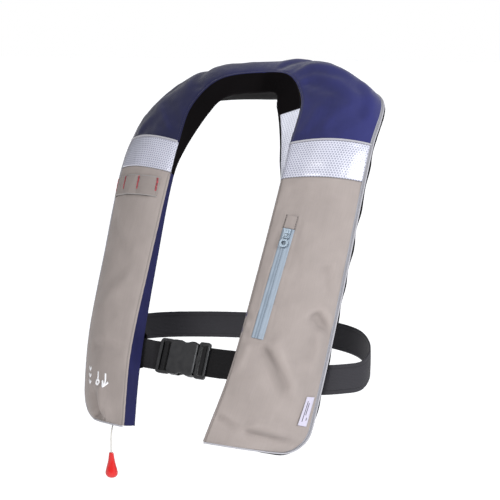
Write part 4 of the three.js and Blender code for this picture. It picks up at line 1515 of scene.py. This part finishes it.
        def flange(s: float, k: float, depth: float) -> Vector:
            """Returns a point of the flange, k from its inner to its outer edge."""
            width = COLLAR.section(s).width
            inward = mix(3.3, -0.4, k)
            lift = 0.75 + rolled(max(inward, 0), self.drop) * 0.85 - 0.5 * (1 - smooth(3.3 - inward, 0, 0.8))
            lift += puckered(inward, COLLAR.run(s), 0.25)
            return COLLAR.front(s, 1 - inward / width, depth - lift)

        rows = rows_between(0.02, END - 0.02, 2.4)
        strip = grid_bmesh(rows, spread(0, 1, 8), flange)
        jacket_piece("edge_flange", strip, self.palette.binding, "piping", thickness=0.5)

    def piping_path(self) -> SmoothCurve:
        """Returns the outer edge's piping line, from one lobe's bottom round the neck to the other's.

        Returns:
            The line, in metres.
        """
        reach = PIPING_R

        def beside(s: float) -> Vector:
            """Returns a point of the piping beside a long edge."""
            c = COLLAR.section(s)
            in_corner = min(s, END - s) < COLLAR.corner_stations
            step = 0.004 if in_corner else 0.01
            heading = (COLLAR.front(min(s + step, END), 1) - COLLAR.front(max(s - step, 0), 1)).normalized()
            outwards = heading.cross(c.out).normalized()
            away = (COLLAR.front(s, 1) - COLLAR.front(clamp(s, 0.5, END - 0.5), 0.5)).dot(outwards)
            return COLLAR.front(s, 1) + (outwards * math.copysign(reach, away) - c.out * 0.5) * MM

        def below(end: float, u: float) -> Vector:
            """Returns a point of the piping below a lobe."""
            c = COLLAR.section(end)
            return COLLAR.front(end, u) + (c.along * (-reach if end == 0 else reach) - c.out * 0.5) * MM

        corner = [COLLAR.corner_stations * (1 - math.cos(math.radians(a))) for a in spread(14, 90, 5)]
        half = [*corner, 0.7, 1.1, *spread(1.6, 6.6, 12)]
        shares = spread(0.01, 0.9, 6)
        left = [below(0.0, u) for u in shares] + [beside(s) for s in half]
        right = [below(END, u) for u in shares] + [beside(END - s) for s in half]
        return SmoothCurve([*left, beside(END / 2), *reversed(right)])


# ---------------------------------------------------------------- pocket


@dataclass
class Pocket:
    """The zipped pocket of the left lobe: coated tape, the garage over its top, and the bag."""

    WIDTH = 17.0
    TOP = (2.55, 0.25)
    BOTTOM = (1.34, 0.185)
    GARAGE = 18.0

    frame: Matrix = field(init=False)
    length: float = field(init=False)

    def __post_init__(self) -> None:
        """Finds the zip's own frame: x across, y up along it, z out of the cover, in millimetres."""
        top, bottom = (COLLAR.front(*place) / MM for place in (self.TOP, self.BOTTOM))
        along = (top - bottom).normalized()
        s, u = ((a + b) / 2 for a, b in zip(self.TOP, self.BOTTOM))
        chord = COLLAR.front(s, u + 0.05) - COLLAR.front(s, u - 0.05)
        out = chord.cross(along).normalized()
        across = along.cross(out)
        self.length = (top - bottom).length
        turn = Matrix((across, along, out)).transposed().to_4x4()
        self.frame = Matrix.Translation(top) @ turn
        self.inverse = self.frame.inverted()

    def at(self, x: float, y: float, z: float) -> Vector:
        """Returns the point in metres for a place in the zip's frame."""
        return (self.frame @ Vector((x, y, z))) * MM

    def pressed(self, point: Vector) -> Vector:
        """Returns a point of the cover, laid flat under the tape with a lip beside it.

        Args:
            point: the point of the cover in metres.

        Returns:
            The point in metres.
        """
        x, y, z = self.inverse @ (point / MM)
        if abs(x) > 26 or y > 18 or y < -self.length - 18:
            return point
        ends = (1 - smooth(y, 2, 14)) * smooth(y, -self.length - 14, -self.length - 2)
        flat = (1 - smooth(abs(x), 10.5, 24)) * ends
        beyond = max(y - 1.5, -self.length - 1.0 - y, 0)
        lip = 1.1 * math.exp(-(((math.hypot(max(abs(x) - 9.6, 0), beyond * 0.6)) / 1.8) ** 2))
        lip *= 1 if abs(x) > 8.9 or beyond > 0 else 0
        return self.at(x, y, mix(z, -0.55 + lip, flat))

    def build(self, palette: Palette) -> None:
        """Builds the tape, garage and bag.

        Args:
            palette: every finish.
        """
        half = self.WIDTH / 2

        def tape(y: float, x: float, depth: float) -> Vector:
            """Returns a point of the zip tape."""
            off = abs(x)
            z = 0.55 + 0.55 * (1 - smooth(off, 2.6, 4.4)) - 0.35 * (1 - smooth(off, 0.15, 0.55))
            z -= 0.35 * smooth(off, 7.4, half) + 0.12 * math.sin(y * 1.9) * (1 - smooth(off, 2.4, 3.2))
            z += 0.25 * ripple(x / 9, y / 14, 2.0)
            return self.at(x, y, z - depth)

        columns = sorted({*spread(-half, half, 26), -0.55, -0.3, -0.15, 0.0, 0.15, 0.3, 0.55})
        film = grid_bmesh(spread(-self.length, 0, 300), columns, tape)
        jacket_piece("zip_tape_film", film, palette.zip_tape, "zip_tape", ["pocket_zip_tape"], 0.7)

        def garage(y: float, x: float, depth: float) -> Vector:
            """Returns a point of the garage over the zip's top."""
            off, end = half + 0.4 - abs(x), min(y + self.GARAGE, 1.6 - y)
            z = 1.75 + 0.2 * math.cos(x / 3) + rolled(min(off, end), 0.8, 1.8)
            return self.at(x, y, z - depth)

        rows, columns = spread(-self.GARAGE, 1.6, 26), spread(-half - 0.4, half + 0.4, 24)
        cap = grid_bmesh(rows, columns, garage)
        jacket_piece("zip_garage", cap, palette.garage, "grey_fabric", thickness=0.6)

        def bag(s: float, u: float, depth: float) -> Vector:
            """Returns a point of the pocket's bag."""
            wave = 0.5 * ripple(s * 6, u * 5, 8.0)
            return COLLAR.front(s, u, FABRIC + 8.4 + depth - wave)

        sack = grid_bmesh(spread(1, 2.6, 60), spread(0.1, 0.65, 24), bag)
        jacket_piece("pocket_sack", sack, palette.pocket, "black_fabric", ["pocket_bag"], 1.0)


POCKET = Pocket()


# ---------------------------------------------------------------- trims on the cover


@dataclass
class Trims:
    """The strip with its bar tacks, the side label and the printed sign on the covers.

    per_station and per_share are the lobe's length and breadth in millimetres, for one station and one share.
    """

    palette: Palette
    strip_upper: float = 2.90
    strip_height: float = 0.235
    strip_slant: float = 0.06
    strip_from: float = 0.085
    strip_to: float = 0.985
    tacks: tuple[float, ...] = (0.115, 0.405, 0.70, 0.955)
    per_station: float = 87.0
    per_share: float = 115.0

    def build(self) -> None:
        """Builds the trims."""
        self.strip()
        for number, u in enumerate(self.tacks, 1):
            self.tack(number, u)
        self.label()
        self.sign()

    def strip_place(self, u: float, v: float, depth: float) -> Vector:
        """Returns a point of the strip, u across the lobe and v down the strip, humped between its tacks.

        Args:
            u: the share of the way across the lobe.
            v: the share of the way down the strip.
            depth: the depth into the strip in millimetres.

        Returns:
            The point in metres.
        """
        s = self.strip_upper - self.strip_slant * u - self.strip_height * v
        hump = 0.0
        for low, high in zip(self.tacks, self.tacks[1:]):
            if low < u < high:
                hump = 1.9 * math.sin(math.pi * (u - low) / (high - low)) ** 0.8
        sag = 0.25 * ripple(u * 9, v * 2, 1.0)
        edge = rolled(min(v, 1 - v) * 25, 0.5, 1.4)
        return COLLAR.front(END - s, u, depth - 1.9 - hump - sag - edge)

    def strip(self) -> None:
        """Builds the webbing strip across the right lobe."""
        rows = spread(self.strip_from, self.strip_to, 90)
        band = grid_bmesh(rows, spread(0, 1, 18), self.strip_place)
        jacket_piece("strip_band", band, self.palette.strip, "webbing", ["accessory_strip"], 1.5)

    def tack(self, number: int, u: float) -> None:
        """Builds one bar tack: close zigzag stitches down the strip.

        Args:
            number: the tack's number.
            u: its place across the lobe.
        """

        def path(t: float) -> Vector:
            """Returns a point of the tack's thread."""
            zig = 0.0110 * (1 if int(t * 44) % 2 else -1) * (0.4 if t in (0.0, 1.0) else 1.0)
            return self.strip_place(u + zig - 0.014 * (t - 0.5), mix(0.06, 0.72, t), -0.35)

        thread = swept_tube(path, 0.45 * MM, 44, 6)
        jacket_piece(f"bar_tack_{number}", thread, self.palette.red_thread, "red_plastic")

    def label(self) -> None:
        """Builds the white tag in the left lobe's outer seam."""
        corners = ((0.735, 0.862), (0.735, 0.950), (0.375, 0.838), (0.365, 0.938))

        def place(t: float, k: float, depth: float) -> Vector:
            """Returns a point of the tag, t along it and k across."""
            (s0, u0), (s1, u1), (s2, u2), (s3, u3) = corners
            s, u = mix(mix(s0, s1, k), mix(s2, s3, k), t), mix(mix(u0, u1, k), mix(u2, u3, k), t)
            curl = 1.1 * (1 - k) ** 2 * (0.4 + t) + 0.3 * math.sin(5 * t + 2 * k)
            return COLLAR.front(s, u, depth - 1.1 - curl)

        tag = grid_bmesh(spread(0, 1, 34), spread(0, 1, 12), place)
        jacket_piece("side_tag", tag, self.palette.label, "white_label", ["side_label"], 0.35)
        marks = []
        for row, (low, high) in enumerate(((0.14, 0.86), (0.20, 0.62), (0.70, 0.80))):

            def dash(t: float, k: float, depth: float, k0: float = 0.30 + 0.2 * row) -> Vector:
                """Returns a point of one of the tag's dashes."""
                return place(t, k0 + 0.075 * k, depth - 0.12)

            marks.append(grid_bmesh(spread(low, high, 20), spread(0, 1, 2), dash))
        jacket_piece("tag_lines", joined(marks), self.palette.rubber, "rubber", thickness=0.08)

    def sign(self) -> None:
        """Builds the printed sign for the release cord: three chevrons, a drop and an arrow."""
        chevrons = [
            ((0.674 - gap, 0.665), (0.636 - gap, 0.628), (0.674 - gap, 0.590))
            for gap in (0.088 * i for i in range(3))
        ]
        turn = spread(0, 2 * math.pi, 26)
        drop = [(0.512 - 0.030 * math.cos(a), 0.420 + 0.030 * math.sin(a)) for a in turn]
        shaft = [(0.655, 0.420), (0.535, 0.420)]
        stem = [(0.660, 0.285), (0.500, 0.285)]
        head = [(0.550, 0.335), (0.478, 0.285), (0.550, 0.235)]
        strokes = [self.stroke(path, 3.0) for path in (*chevrons, drop, shaft, stem, head)]
        jacket_piece("release_sign", joined(strokes), self.palette.ink, "white_label", thickness=0.12)

    def stroke(self, path: Sequence[tuple[float, float]], width: float) -> bmesh.types.BMesh:
        """Returns a flat inked line of that width in millimetres along places of the right cover.

        Args:
            path: its places, each a station and a share.
            width: its width.

        Returns:
            The stroke's sheet.
        """
        folds = Folds(RIGHT_FOLDS, COVER_RIPPLE, COVER_SEEDS["right"])
        cover = CollarCloth(self.palette).front_place(folds, END - BAND[0], END)
        stops = []
        for a, b in zip(path, path[1:]):
            size = math.hypot((a[0] - b[0]) * self.per_station, (a[1] - b[1]) * self.per_share)
            count = max(int(size / 0.9), 1)
            stops += [(mix(a[0], b[0], t), mix(a[1], b[1], t)) for t in spread(0, 1, count)[:count]]
        stops.append(path[-1])

        def side(i: int) -> tuple[float, float]:
            """Returns the sideways step of a millimetre at a stop, in stations and shares."""
            low, high = stops[max(i - 1, 0)], stops[min(i + 1, len(stops) - 1)]
            along, across = (high[0] - low[0]) * self.per_station, (high[1] - low[1]) * self.per_share
            size = math.hypot(along, across) or 1.0
            return across / size / self.per_station, -along / size / self.per_share

        def place(row: float, k: float, depth: float) -> Vector:
            """Returns a point of the stroke."""
            (s, u), (ds, du) = stops[int(row)], side(int(row))
            off = (k - 0.5) * width
            return cover(END - s - ds * off, u + du * off, depth - 0.16)

        return grid_bmesh([float(i) for i in range(len(stops))], [0.0, 0.5, 1.0], place)


# ---------------------------------------------------------------- release cord and toggle


@dataclass
class ReleaseCord:
    """The thin cord that hangs out of the right lobe's bottom, with its red drop-shaped toggle."""

    ROUTE = (
        (-95.96, -239.78, -373.21),
        (-94.17, -248.97, -391.91),
        (-92.39, -258.15, -410.60),
        (-90.55, -267.62, -429.86),
        (-89.53, -272.89, -440.59),
        (-89.10, -275.09, -445.06),
        (-89.10, -277.59, -451.06),
        (-89.10, -279.09, -458.06),
        (-89.10, -279.59, -467.06),
        (-89.10, -279.59, -482.06),
    )
    RADIUS = 1.05
    PROFILE = (
        (0.0, 0.6),
        (1.6, 0.55),
        (2.9, 0.1),
        (3.5, -1.2),
        (3.7, -3.2),
        (4.1, -6.5),
        (4.9, -11.0),
        (6.0, -16.0),
        (7.3, -21.0),
        (8.5, -25.0),
        (9.1, -28.0),
        (8.9, -30.6),
        (7.7, -33.0),
        (5.6, -34.6),
        (3.0, -35.4),
        (0.0, -35.6),
    )

    def build(self, palette: Palette) -> None:
        """Args:
            palette: every finish.
        """
        line = SmoothCurve([Vector(p) * MM for p in self.ROUTE])
        path = [line.at(t) for t in spread(0, 1, 36)]
        length = sum((b - a).length for a, b in zip(path, path[1:]))
        toggle = self.toggle(path[-1], palette.red)
        cord = to_object("release_cord", swept_tube(line.at, self.RADIUS * MM, 160, 10), palette.cord)
        settle(cord, Body.RELEASE, "cord", ["pull_cord"])
        tuple(path[0])
        [tuple(p) for p in path]

    def toggle(self, end: Vector, material: bpy.types.Material) -> bpy.types.Object:
        """Spins the toggle's profile about the cord's line and returns it.

        Args:
            end: the cord's end in metres.
            material: its finish.

        Returns:
            The toggle.
        """
        bm = bmesh.new()
        ring = [bm.verts.new((r * MM, 0, z * MM)) for r, z in self.PROFILE]
        edges = [bm.edges.new(pair) for pair in zip(ring, ring[1:])]
        turn = {"cent": (0, 0, 0), "axis": (0, 0, 1), "angle": 2 * math.pi}
        bmesh.ops.spin(bm, geom=[*ring, *edges], steps=40, use_merge=True, **turn)
        bmesh.ops.remove_doubles(bm, verts=bm.verts, dist=1e-6)
        bmesh.ops.recalc_face_normals(bm, faces=bm.faces)
        bmesh.ops.scale(bm, vec=(1.0, 0.86, 1.0), verts=bm.verts)
        bmesh.ops.translate(bm, vec=end, verts=bm.verts)
        drop = to_object("release_toggle", bm, material)
        rounder = drop.modifiers.new("rounding", "SUBSURF")
        rounder.levels = rounder.render_levels = 1
        return settle(drop, Body.RELEASE, "red_plastic", ["pull_toggle"])


# ---------------------------------------------------------------- waist belt


@dataclass
class Belt:
    """The waist belt, its short front strap, the turns of webbing round the buckle's bars, and the sleeves it
    runs through.
    """

    palette: Palette
    width: float = 40.0
    thickness: float = 1.6
    tilt: float = math.radians(27)
    y: float = -214.0
    z: float = -355.0
    rear_z: float = -351.0
    fall: float = 0.12
    station: float = 1.06
    buckle_x: float = -8.0
    under_bars: float = 3.2 + 2 * GAP + 0.8
    bar_half: float = 4.3

    def build(self) -> None:
        """Builds the straps and sleeves."""
        self.short_strap()
        self.long_strap()
        self.wrap("bar_wrap_male", 27.75, 3.25, Body.BUCKLE)
        self.wrap("bar_wrap_female", -30.75, 4.0, Body.JACKET)
        for side in ("left", "right"):
            self.sleeve(side)

    def stretch(self, x: float, depth: float) -> tuple[Vector, Vector]:
        """Returns a stop of the belt's front stretch, its point and its up direction, in millimetres.

        Args:
            x: the place along the belt in millimetres.
            depth: the distance behind the belt's plane in millimetres.

        Returns:
            The point and the up direction.
        """
        turn = Matrix.Rotation(-self.tilt, 4, "X")
        up = Vector((0, math.sin(self.tilt), math.cos(self.tilt)))
        return turn @ Vector((x, depth, 0)) + Vector((0, self.y, self.z)), up

    def on_panel(self, u: float, depth: float, side: str = "left") -> tuple[Vector, Vector]:
        """Returns a stop of the belt behind a lobe.

        Args:
            u: the share of the way across the collar.
            depth: the distance behind the panel in millimetres.
            side: the wearer's side, left or right.

        Returns:
            The point in millimetres and the up direction.
        """
        s = self.station - self.fall * u
        s = s if side == "left" else END - s
        along = COLLAR.section(s).along
        return COLLAR.back(s, u, -depth) / MM, along if side == "left" else -along

    def strap(
        self, name: str, stops: Sequence[tuple[Vector, Vector]], steps: int, material: bpy.types.Material
    ) -> bpy.types.Object:
        """Builds a flat strap through stops and returns it.

        Args:
            name: the piece's name.
            stops: its stops, each a point in millimetres and an up direction.
            steps: the number of stretches along it.
            material: its finish.

        Returns:
            The strap.
        """
        path = SmoothCurve([point for point, _ in stops])
        ups = SmoothCurve([up for _, up in stops])

        def place(t: float, v: float, depth: float) -> Vector:
            """Returns a point of the strap, t along it and v across."""
            up = ups.at(t).normalized()
            normal = path.tangent(t).cross(up).normalized()
            cup = 0.5 * (2 * v - 1) ** 2 + 0.35 * ripple(t * 12, v * 2, 6.0)
            return (path.at(t) + up * (v - 0.5) * self.width + normal * (-depth - cup)) * MM

        piece = to_object(name, grid_bmesh(spread(0, 1, steps), spread(0, 1, 24), place), material)
        return thickened(piece, self.thickness, 0.0)

    def wrap(self, name: str, middle: float, half: float, body: Body) -> None:
        """Builds the turn of webbing round a bar of the buckle.

        Args:
            name: the piece's name.
            middle: the bar's middle along the belt, in millimetres from the buckle's middle.
            half: half the turn's length along the belt, in millimetres.
            body: the body that the turn rides on.
        """

        def place(turn: float, v: float, depth: float) -> Vector:
            """Returns a point of the turn of webbing."""
            across, deep = math.cos(turn), math.sin(turn)
            square = [math.copysign(abs(value) ** 0.5, value) for value in (across, deep)]
            x = self.buckle_x + middle + (half - depth) * square[0]
            centre, up = self.stretch(x, (self.bar_half - depth) * square[1])
            return (centre + up * (v - 0.5) * self.width) * MM

        bm = grid_bmesh(spread(0, 2 * math.pi, 60), spread(0, 1, 16), place)
        bmesh.ops.remove_doubles(bm, verts=bm.verts, dist=0.00002)
        piece = thickened(to_object(name, bm, self.palette.short_belt), 1.2)
        settle(piece, body, "webbing")

    def short_strap(self) -> None:
        """Builds the strap that carries the buckle's male half."""
        hidden = [self.on_panel(u, 3) for u in (0.1, 0.22, 0.34)]
        places = ((self.buckle_x + 27, self.under_bars), (45, 4), (62, 2.5))
        stops = [self.stretch(x, depth) for x, depth in places]
        strap = self.strap("front_strap", [*stops, *hidden], 90, self.palette.short_belt)
        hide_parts("belt_front_left")
        start, end = ((x, self.y * MM, self.z * MM) for x in (0.030, 0.096))
        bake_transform(strap)
        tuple(start)
        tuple(end)

    def long_strap(self) -> None:
        """Builds the belt from behind the left lobe round the back to the buckle's female half."""

        def loose(x: float, y: float, z: float = self.rear_z, lean: float = 0.0) -> tuple[Vector, Vector]:
            """Returns a stop of the belt behind the wearer."""
            return Vector((x, y, z)), Vector((0, lean, 1))

        stops = [
            *(self.on_panel(u, 6) for u in (0.16, 0.35, 0.6, 0.9)),
            loose(205, -160, -370, 0.3),
            loose(222, -138, -369, 0.1),
            loose(222, -106, -358),
            loose(196, -70, -347),
            loose(145, -42, -345),
            loose(75, -26, -347),
            loose(0, -21, -351),
            loose(-75, -27, -356),
            loose(-140, -46, -360),
            loose(-178, -80, -362),
            loose(-194, -115, -362),
            loose(-196, -142, -360, 0.15),
            *(self.on_panel(u, 4, "right") for u in (0.9, 0.6, 0.35, 0.16)),
            self.stretch(-64, 3),
            self.stretch(-54, 4.2),
            self.stretch(self.buckle_x - 30, self.under_bars),
        ]
        strap = self.strap("waist_strap", stops, 420, self.palette.belt)
        settle(strap, Body.JACKET, "webbing", ["waist_belt"])

    def sleeve(self, side: str) -> None:
        """Builds the flat sleeve on the back panel that the belt passes through.

        Args:
            side: the wearer's side, left or right.
        """

        def place(k: float, u: float, depth: float) -> Vector:
            """Returns a point of the sleeve, k along the collar."""
            rise = mix(GAP, 9.5, smooth(min(k, 1 - k), 0.08, 0.16))
            s = self.station + (2 * k - 1) * 0.3 - self.fall * u
            return COLLAR.back(s if side == "left" else END - s, u, -rise + depth)

        rows, columns = spread(0, 1, 60), spread(0.07, 0.44, 24)
        sheet, nodes = grid_bmesh(rows, columns, place), [f"belt_loop_{side}"]
        jacket_piece(f"belt_sleeve_{side}", sheet, self.palette.black, "black_fabric", nodes, FABRIC)


# ---------------------------------------------------------------- inside the collar


@dataclass
class Inside:
    """What the closed cover hides: the folded bladder, its becket and the whistle's line."""

    WHISTLE_ROUTE = (
        (118.90, -202.89, -331.94),
        (118.34, -206.93, -340.41),
        (124.98, -207.15, -349.62),
        (133.04, -203.91, -347.25),
        (138.18, -198.99, -341.06),
    )

    palette: Palette

    def build(self) -> None:
        """Builds the hidden soft pieces."""

        def folded(s: float, u: float, depth: float) -> Vector:
            """Returns a point of the bladder's pleated front."""
            pleat = 0.7 * math.sin(u * 5 * math.pi) - 0.7
            return COLLAR.bladder_front(s, u, -depth + pleat)

        def under(s: float, u: float, depth: float) -> Vector:
            """Returns a point of the bladder's body side."""
            return COLLAR.back(s, u, BLADDER_BACK - depth + 0.1)

        rows, columns = rows_between(0.06, END - 0.06, 6.0), spread(0.13, 0.89, 40)
        halves = [grid_bmesh(rows, columns, place) for place in (folded, under)]
        bag = joined(halves)
        rims = [edge for edge in bag.edges if edge.is_boundary]
        bmesh.ops.bridge_loops(bag, edges=rims)
        bmesh.ops.recalc_face_normals(bag, faces=bag.faces)
        jacket_piece("folded_bladder", bag, self.palette.bladder, "bladder_fabric", ["bladder"])

        def lying(s: float, u: float, depth: float) -> Vector:
            """Returns a point of the becket."""
            return COLLAR.bladder_front(s, u, 3 * GAP + 1.6 - depth)

        becket = grid_bmesh(spread(1.5, 2.3, 50), spread(0.12, 0.3, 12), lying)
        jacket_piece("becket_webbing", becket, self.palette.belt, "webbing", ["lifting_becket"], 1.6)
        line = SmoothCurve([Vector(p) * MM for p in self.WHISTLE_ROUTE])
        lanyard = swept_tube(line.at, 1.0 * MM, 60, 8)
        jacket_piece("whistle_line", lanyard, self.palette.lanyard, "cord", ["whistle_lanyard"])


PIN_AXIS = Vector((-0.085323, 0.439412, 0.894224))


def pin_spring(palette: Palette) -> None:
    """Builds the firing pin's spring from a copy of its CAD solid.

    Args:
        palette: every finish.
    """
    solid = frame["nodes"]["firing_pin_spring"]
    bm = bmesh.new()
    bm.from_mesh(solid.data)
    bmesh.ops.transform(bm, matrix=solid.matrix_world, verts=bm.verts)
    last = max((vert.co for vert in bm.verts), key=PIN_AXIS.dot).copy()
    spring = jacket_piece("pin_spring_coil", bm, palette.steel, "bright_metal", ["firing_pin_spring"])
    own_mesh(spring)


def dress_hard_parts(palette: Palette) -> None:
    """Gives every carried-over hard part its finish.

    Args:
        palette: every finish.
    """
    finishes = {
        palette.plastic: (
            "buckle_female buckle_male buckle_arm_upper buckle_arm_lower "
            "inflator_body sensor_cap oral_valve_poppet"
        ),
        palette.zip_metal: "zip_slider zip_pull",
        palette.steel: "gas_cylinder stem_nut lever_pin firing_pin",
        palette.rubber: "oral_tube oral_dust_cap cylinder_seal manifold_stem",
        palette.red: "oral_valve_body whistle inflator_lever",
        palette.green: "indicator_clip",
        palette.white: "water_sensing_bobbin",
        palette.bladder: "oral_tube_flange",
    }
    for material, names in finishes.items():
        for name in names.split():
            for holder in frame["nodes"][name].material_slots:
                holder.link = "OBJECT"
                holder.material = material


# ---------------------------------------------------------------- studio


@dataclass
class Studio:
    """The camera, the pale floor where the wearer would stand, and soft light."""

    azimuth: float = math.radians(26.2)
    elevation: float = math.radians(9.3)
    distance: float = 1.6944
    target: tuple[float, float, float] = (0.0, -0.080, -0.186)
    lens: float = 83.99
    shift: tuple[float, float] = (0.033, -0.0524)
    floor_z: float = -1.45
    floor_glow: float = 0.46

    def camera(self) -> None:
        """Makes the camera and the scene's view of colours."""
        a, e = self.azimuth, self.elevation
        back = Vector((math.sin(a) * math.cos(e), -math.cos(a) * math.cos(e), math.sin(e)))
        data = bpy.data.cameras.new("camera")
        data.lens = self.lens
        data.sensor_width = 36.0
        data.shift_x, data.shift_y = self.shift
        camera = bpy.data.objects.new("camera", data)
        bpy.context.scene.collection.objects.link(camera)
        camera.location = Vector(self.target) + back * self.distance
        camera.rotation_mode = "QUATERNION"
        camera.rotation_quaternion = (-back).to_track_quat("-Z", "Y")
        bpy.context.scene.camera = camera
        bpy.context.scene.view_settings.view_transform = "Standard"

    def light(self) -> None:
        """Makes the world's even light, the two suns and the two soft boxes."""
        world = bpy.data.worlds.new("studio")
        bpy.context.scene.world = world
        world.use_nodes = True
        tree = world.node_tree
        sky = next(n for n in tree.nodes if n.type == "BACKGROUND")
        sky.inputs["Strength"].default_value = 1.0
        ray = tree.nodes.new("ShaderNodeLightPath")
        shade = tree.nodes.new("ShaderNodeMix")
        shade.data_type = "RGBA"
        shade.inputs[6].default_value = (0.16, 0.165, 0.18, 1)
        shade.inputs[7].default_value = (1, 1, 1, 1)
        tree.links.new(ray.outputs["Is Camera Ray"], shade.inputs[0])
        tree.links.new(shade.outputs[2], sky.inputs["Color"])
        self.sun("key", (-0.06, 0.84, -0.60), 1.52, 24, (1.0, 0.985, 0.965))
        self.sun("side", (-0.90, 0.26, -0.52), 1.95, 26, (0.94, 0.965, 1.0))
        self.box("front_box", (0.25, -1.7, 0.55), 0.5, 5.0)
        self.box("side_box", (1.5, -0.5, 0.35), 0.6, 6.0)

    def sun(
        self, name: str, heading: tuple[float, float, float], power: float, size: float, tint: Colour
    ) -> None:
        """Makes a soft sun that shines along heading, size its angle in degrees.

        Args:
            name: the lamp's name.
            heading: the direction it shines in.
            power: its strength.
            size: its angle.
            tint: its colour.
        """
        data = bpy.data.lights.new(name, "SUN")
        data.energy, data.angle, data.color = power, math.radians(size), tint
        lamp = bpy.data.objects.new(name, data)
        bpy.context.scene.collection.objects.link(lamp)
        lamp.rotation_mode = "QUATERNION"
        lamp.rotation_quaternion = Vector(heading).to_track_quat("-Z", "Y")

    def box(self, name: str, place: tuple[float, float, float], size: float, power: float) -> None:
        """Makes a square soft box that faces the jacket.

        Args:
            name: the lamp's name.
            place: its place in metres.
            size: its side in metres.
            power: its power in watts.
        """
        data = bpy.data.lights.new(name, "AREA")
        data.energy, data.size = power, size
        lamp = bpy.data.objects.new(name, data)
        bpy.context.scene.collection.objects.link(lamp)
        lamp.location = place
        lamp.rotation_mode = "QUATERNION"
        lamp.rotation_quaternion = (Vector(self.target) - Vector(place)).to_track_quat("-Z", "Y")

    def floor(self) -> None:
        """Makes the pale floor."""
        bm = bmesh.new()
        bmesh.ops.create_grid(bm, x_segments=8, y_segments=8, size=60.0)
        bmesh.ops.translate(bm, vec=(0, 0, self.floor_z), verts=bm.verts)
        n = Nodes("floor_paint")
        cloud = n.noise(n.object_place(), 0.6, 2.0)
        tint = n.blend(cloud, (0.90, 0.90, 0.90), (0.93, 0.93, 0.93))
        material = n.finish(tint, 0.9, Emission_Color=(1.0, 1.0, 1.0), Emission_Strength=self.floor_glow)
        to_object("floor", bm, material)


def main() -> None:
    """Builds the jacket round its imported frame."""
    logging.basicConfig(level=logging.INFO, format="%(name)s %(message)s")
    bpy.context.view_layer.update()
    studio = Studio()
    studio.camera()
    palette = Palette()
    ReleaseCord().build(palette)
    CollarCloth(palette).build()
    POCKET.build(palette)
    Trims(palette).build()
    Belt(palette).build()
    Inside(palette).build()
    pin_spring(palette)
    dress_hard_parts(palette)
    studio.floor()
    studio.light()


if __name__ == "__main__":
    main()
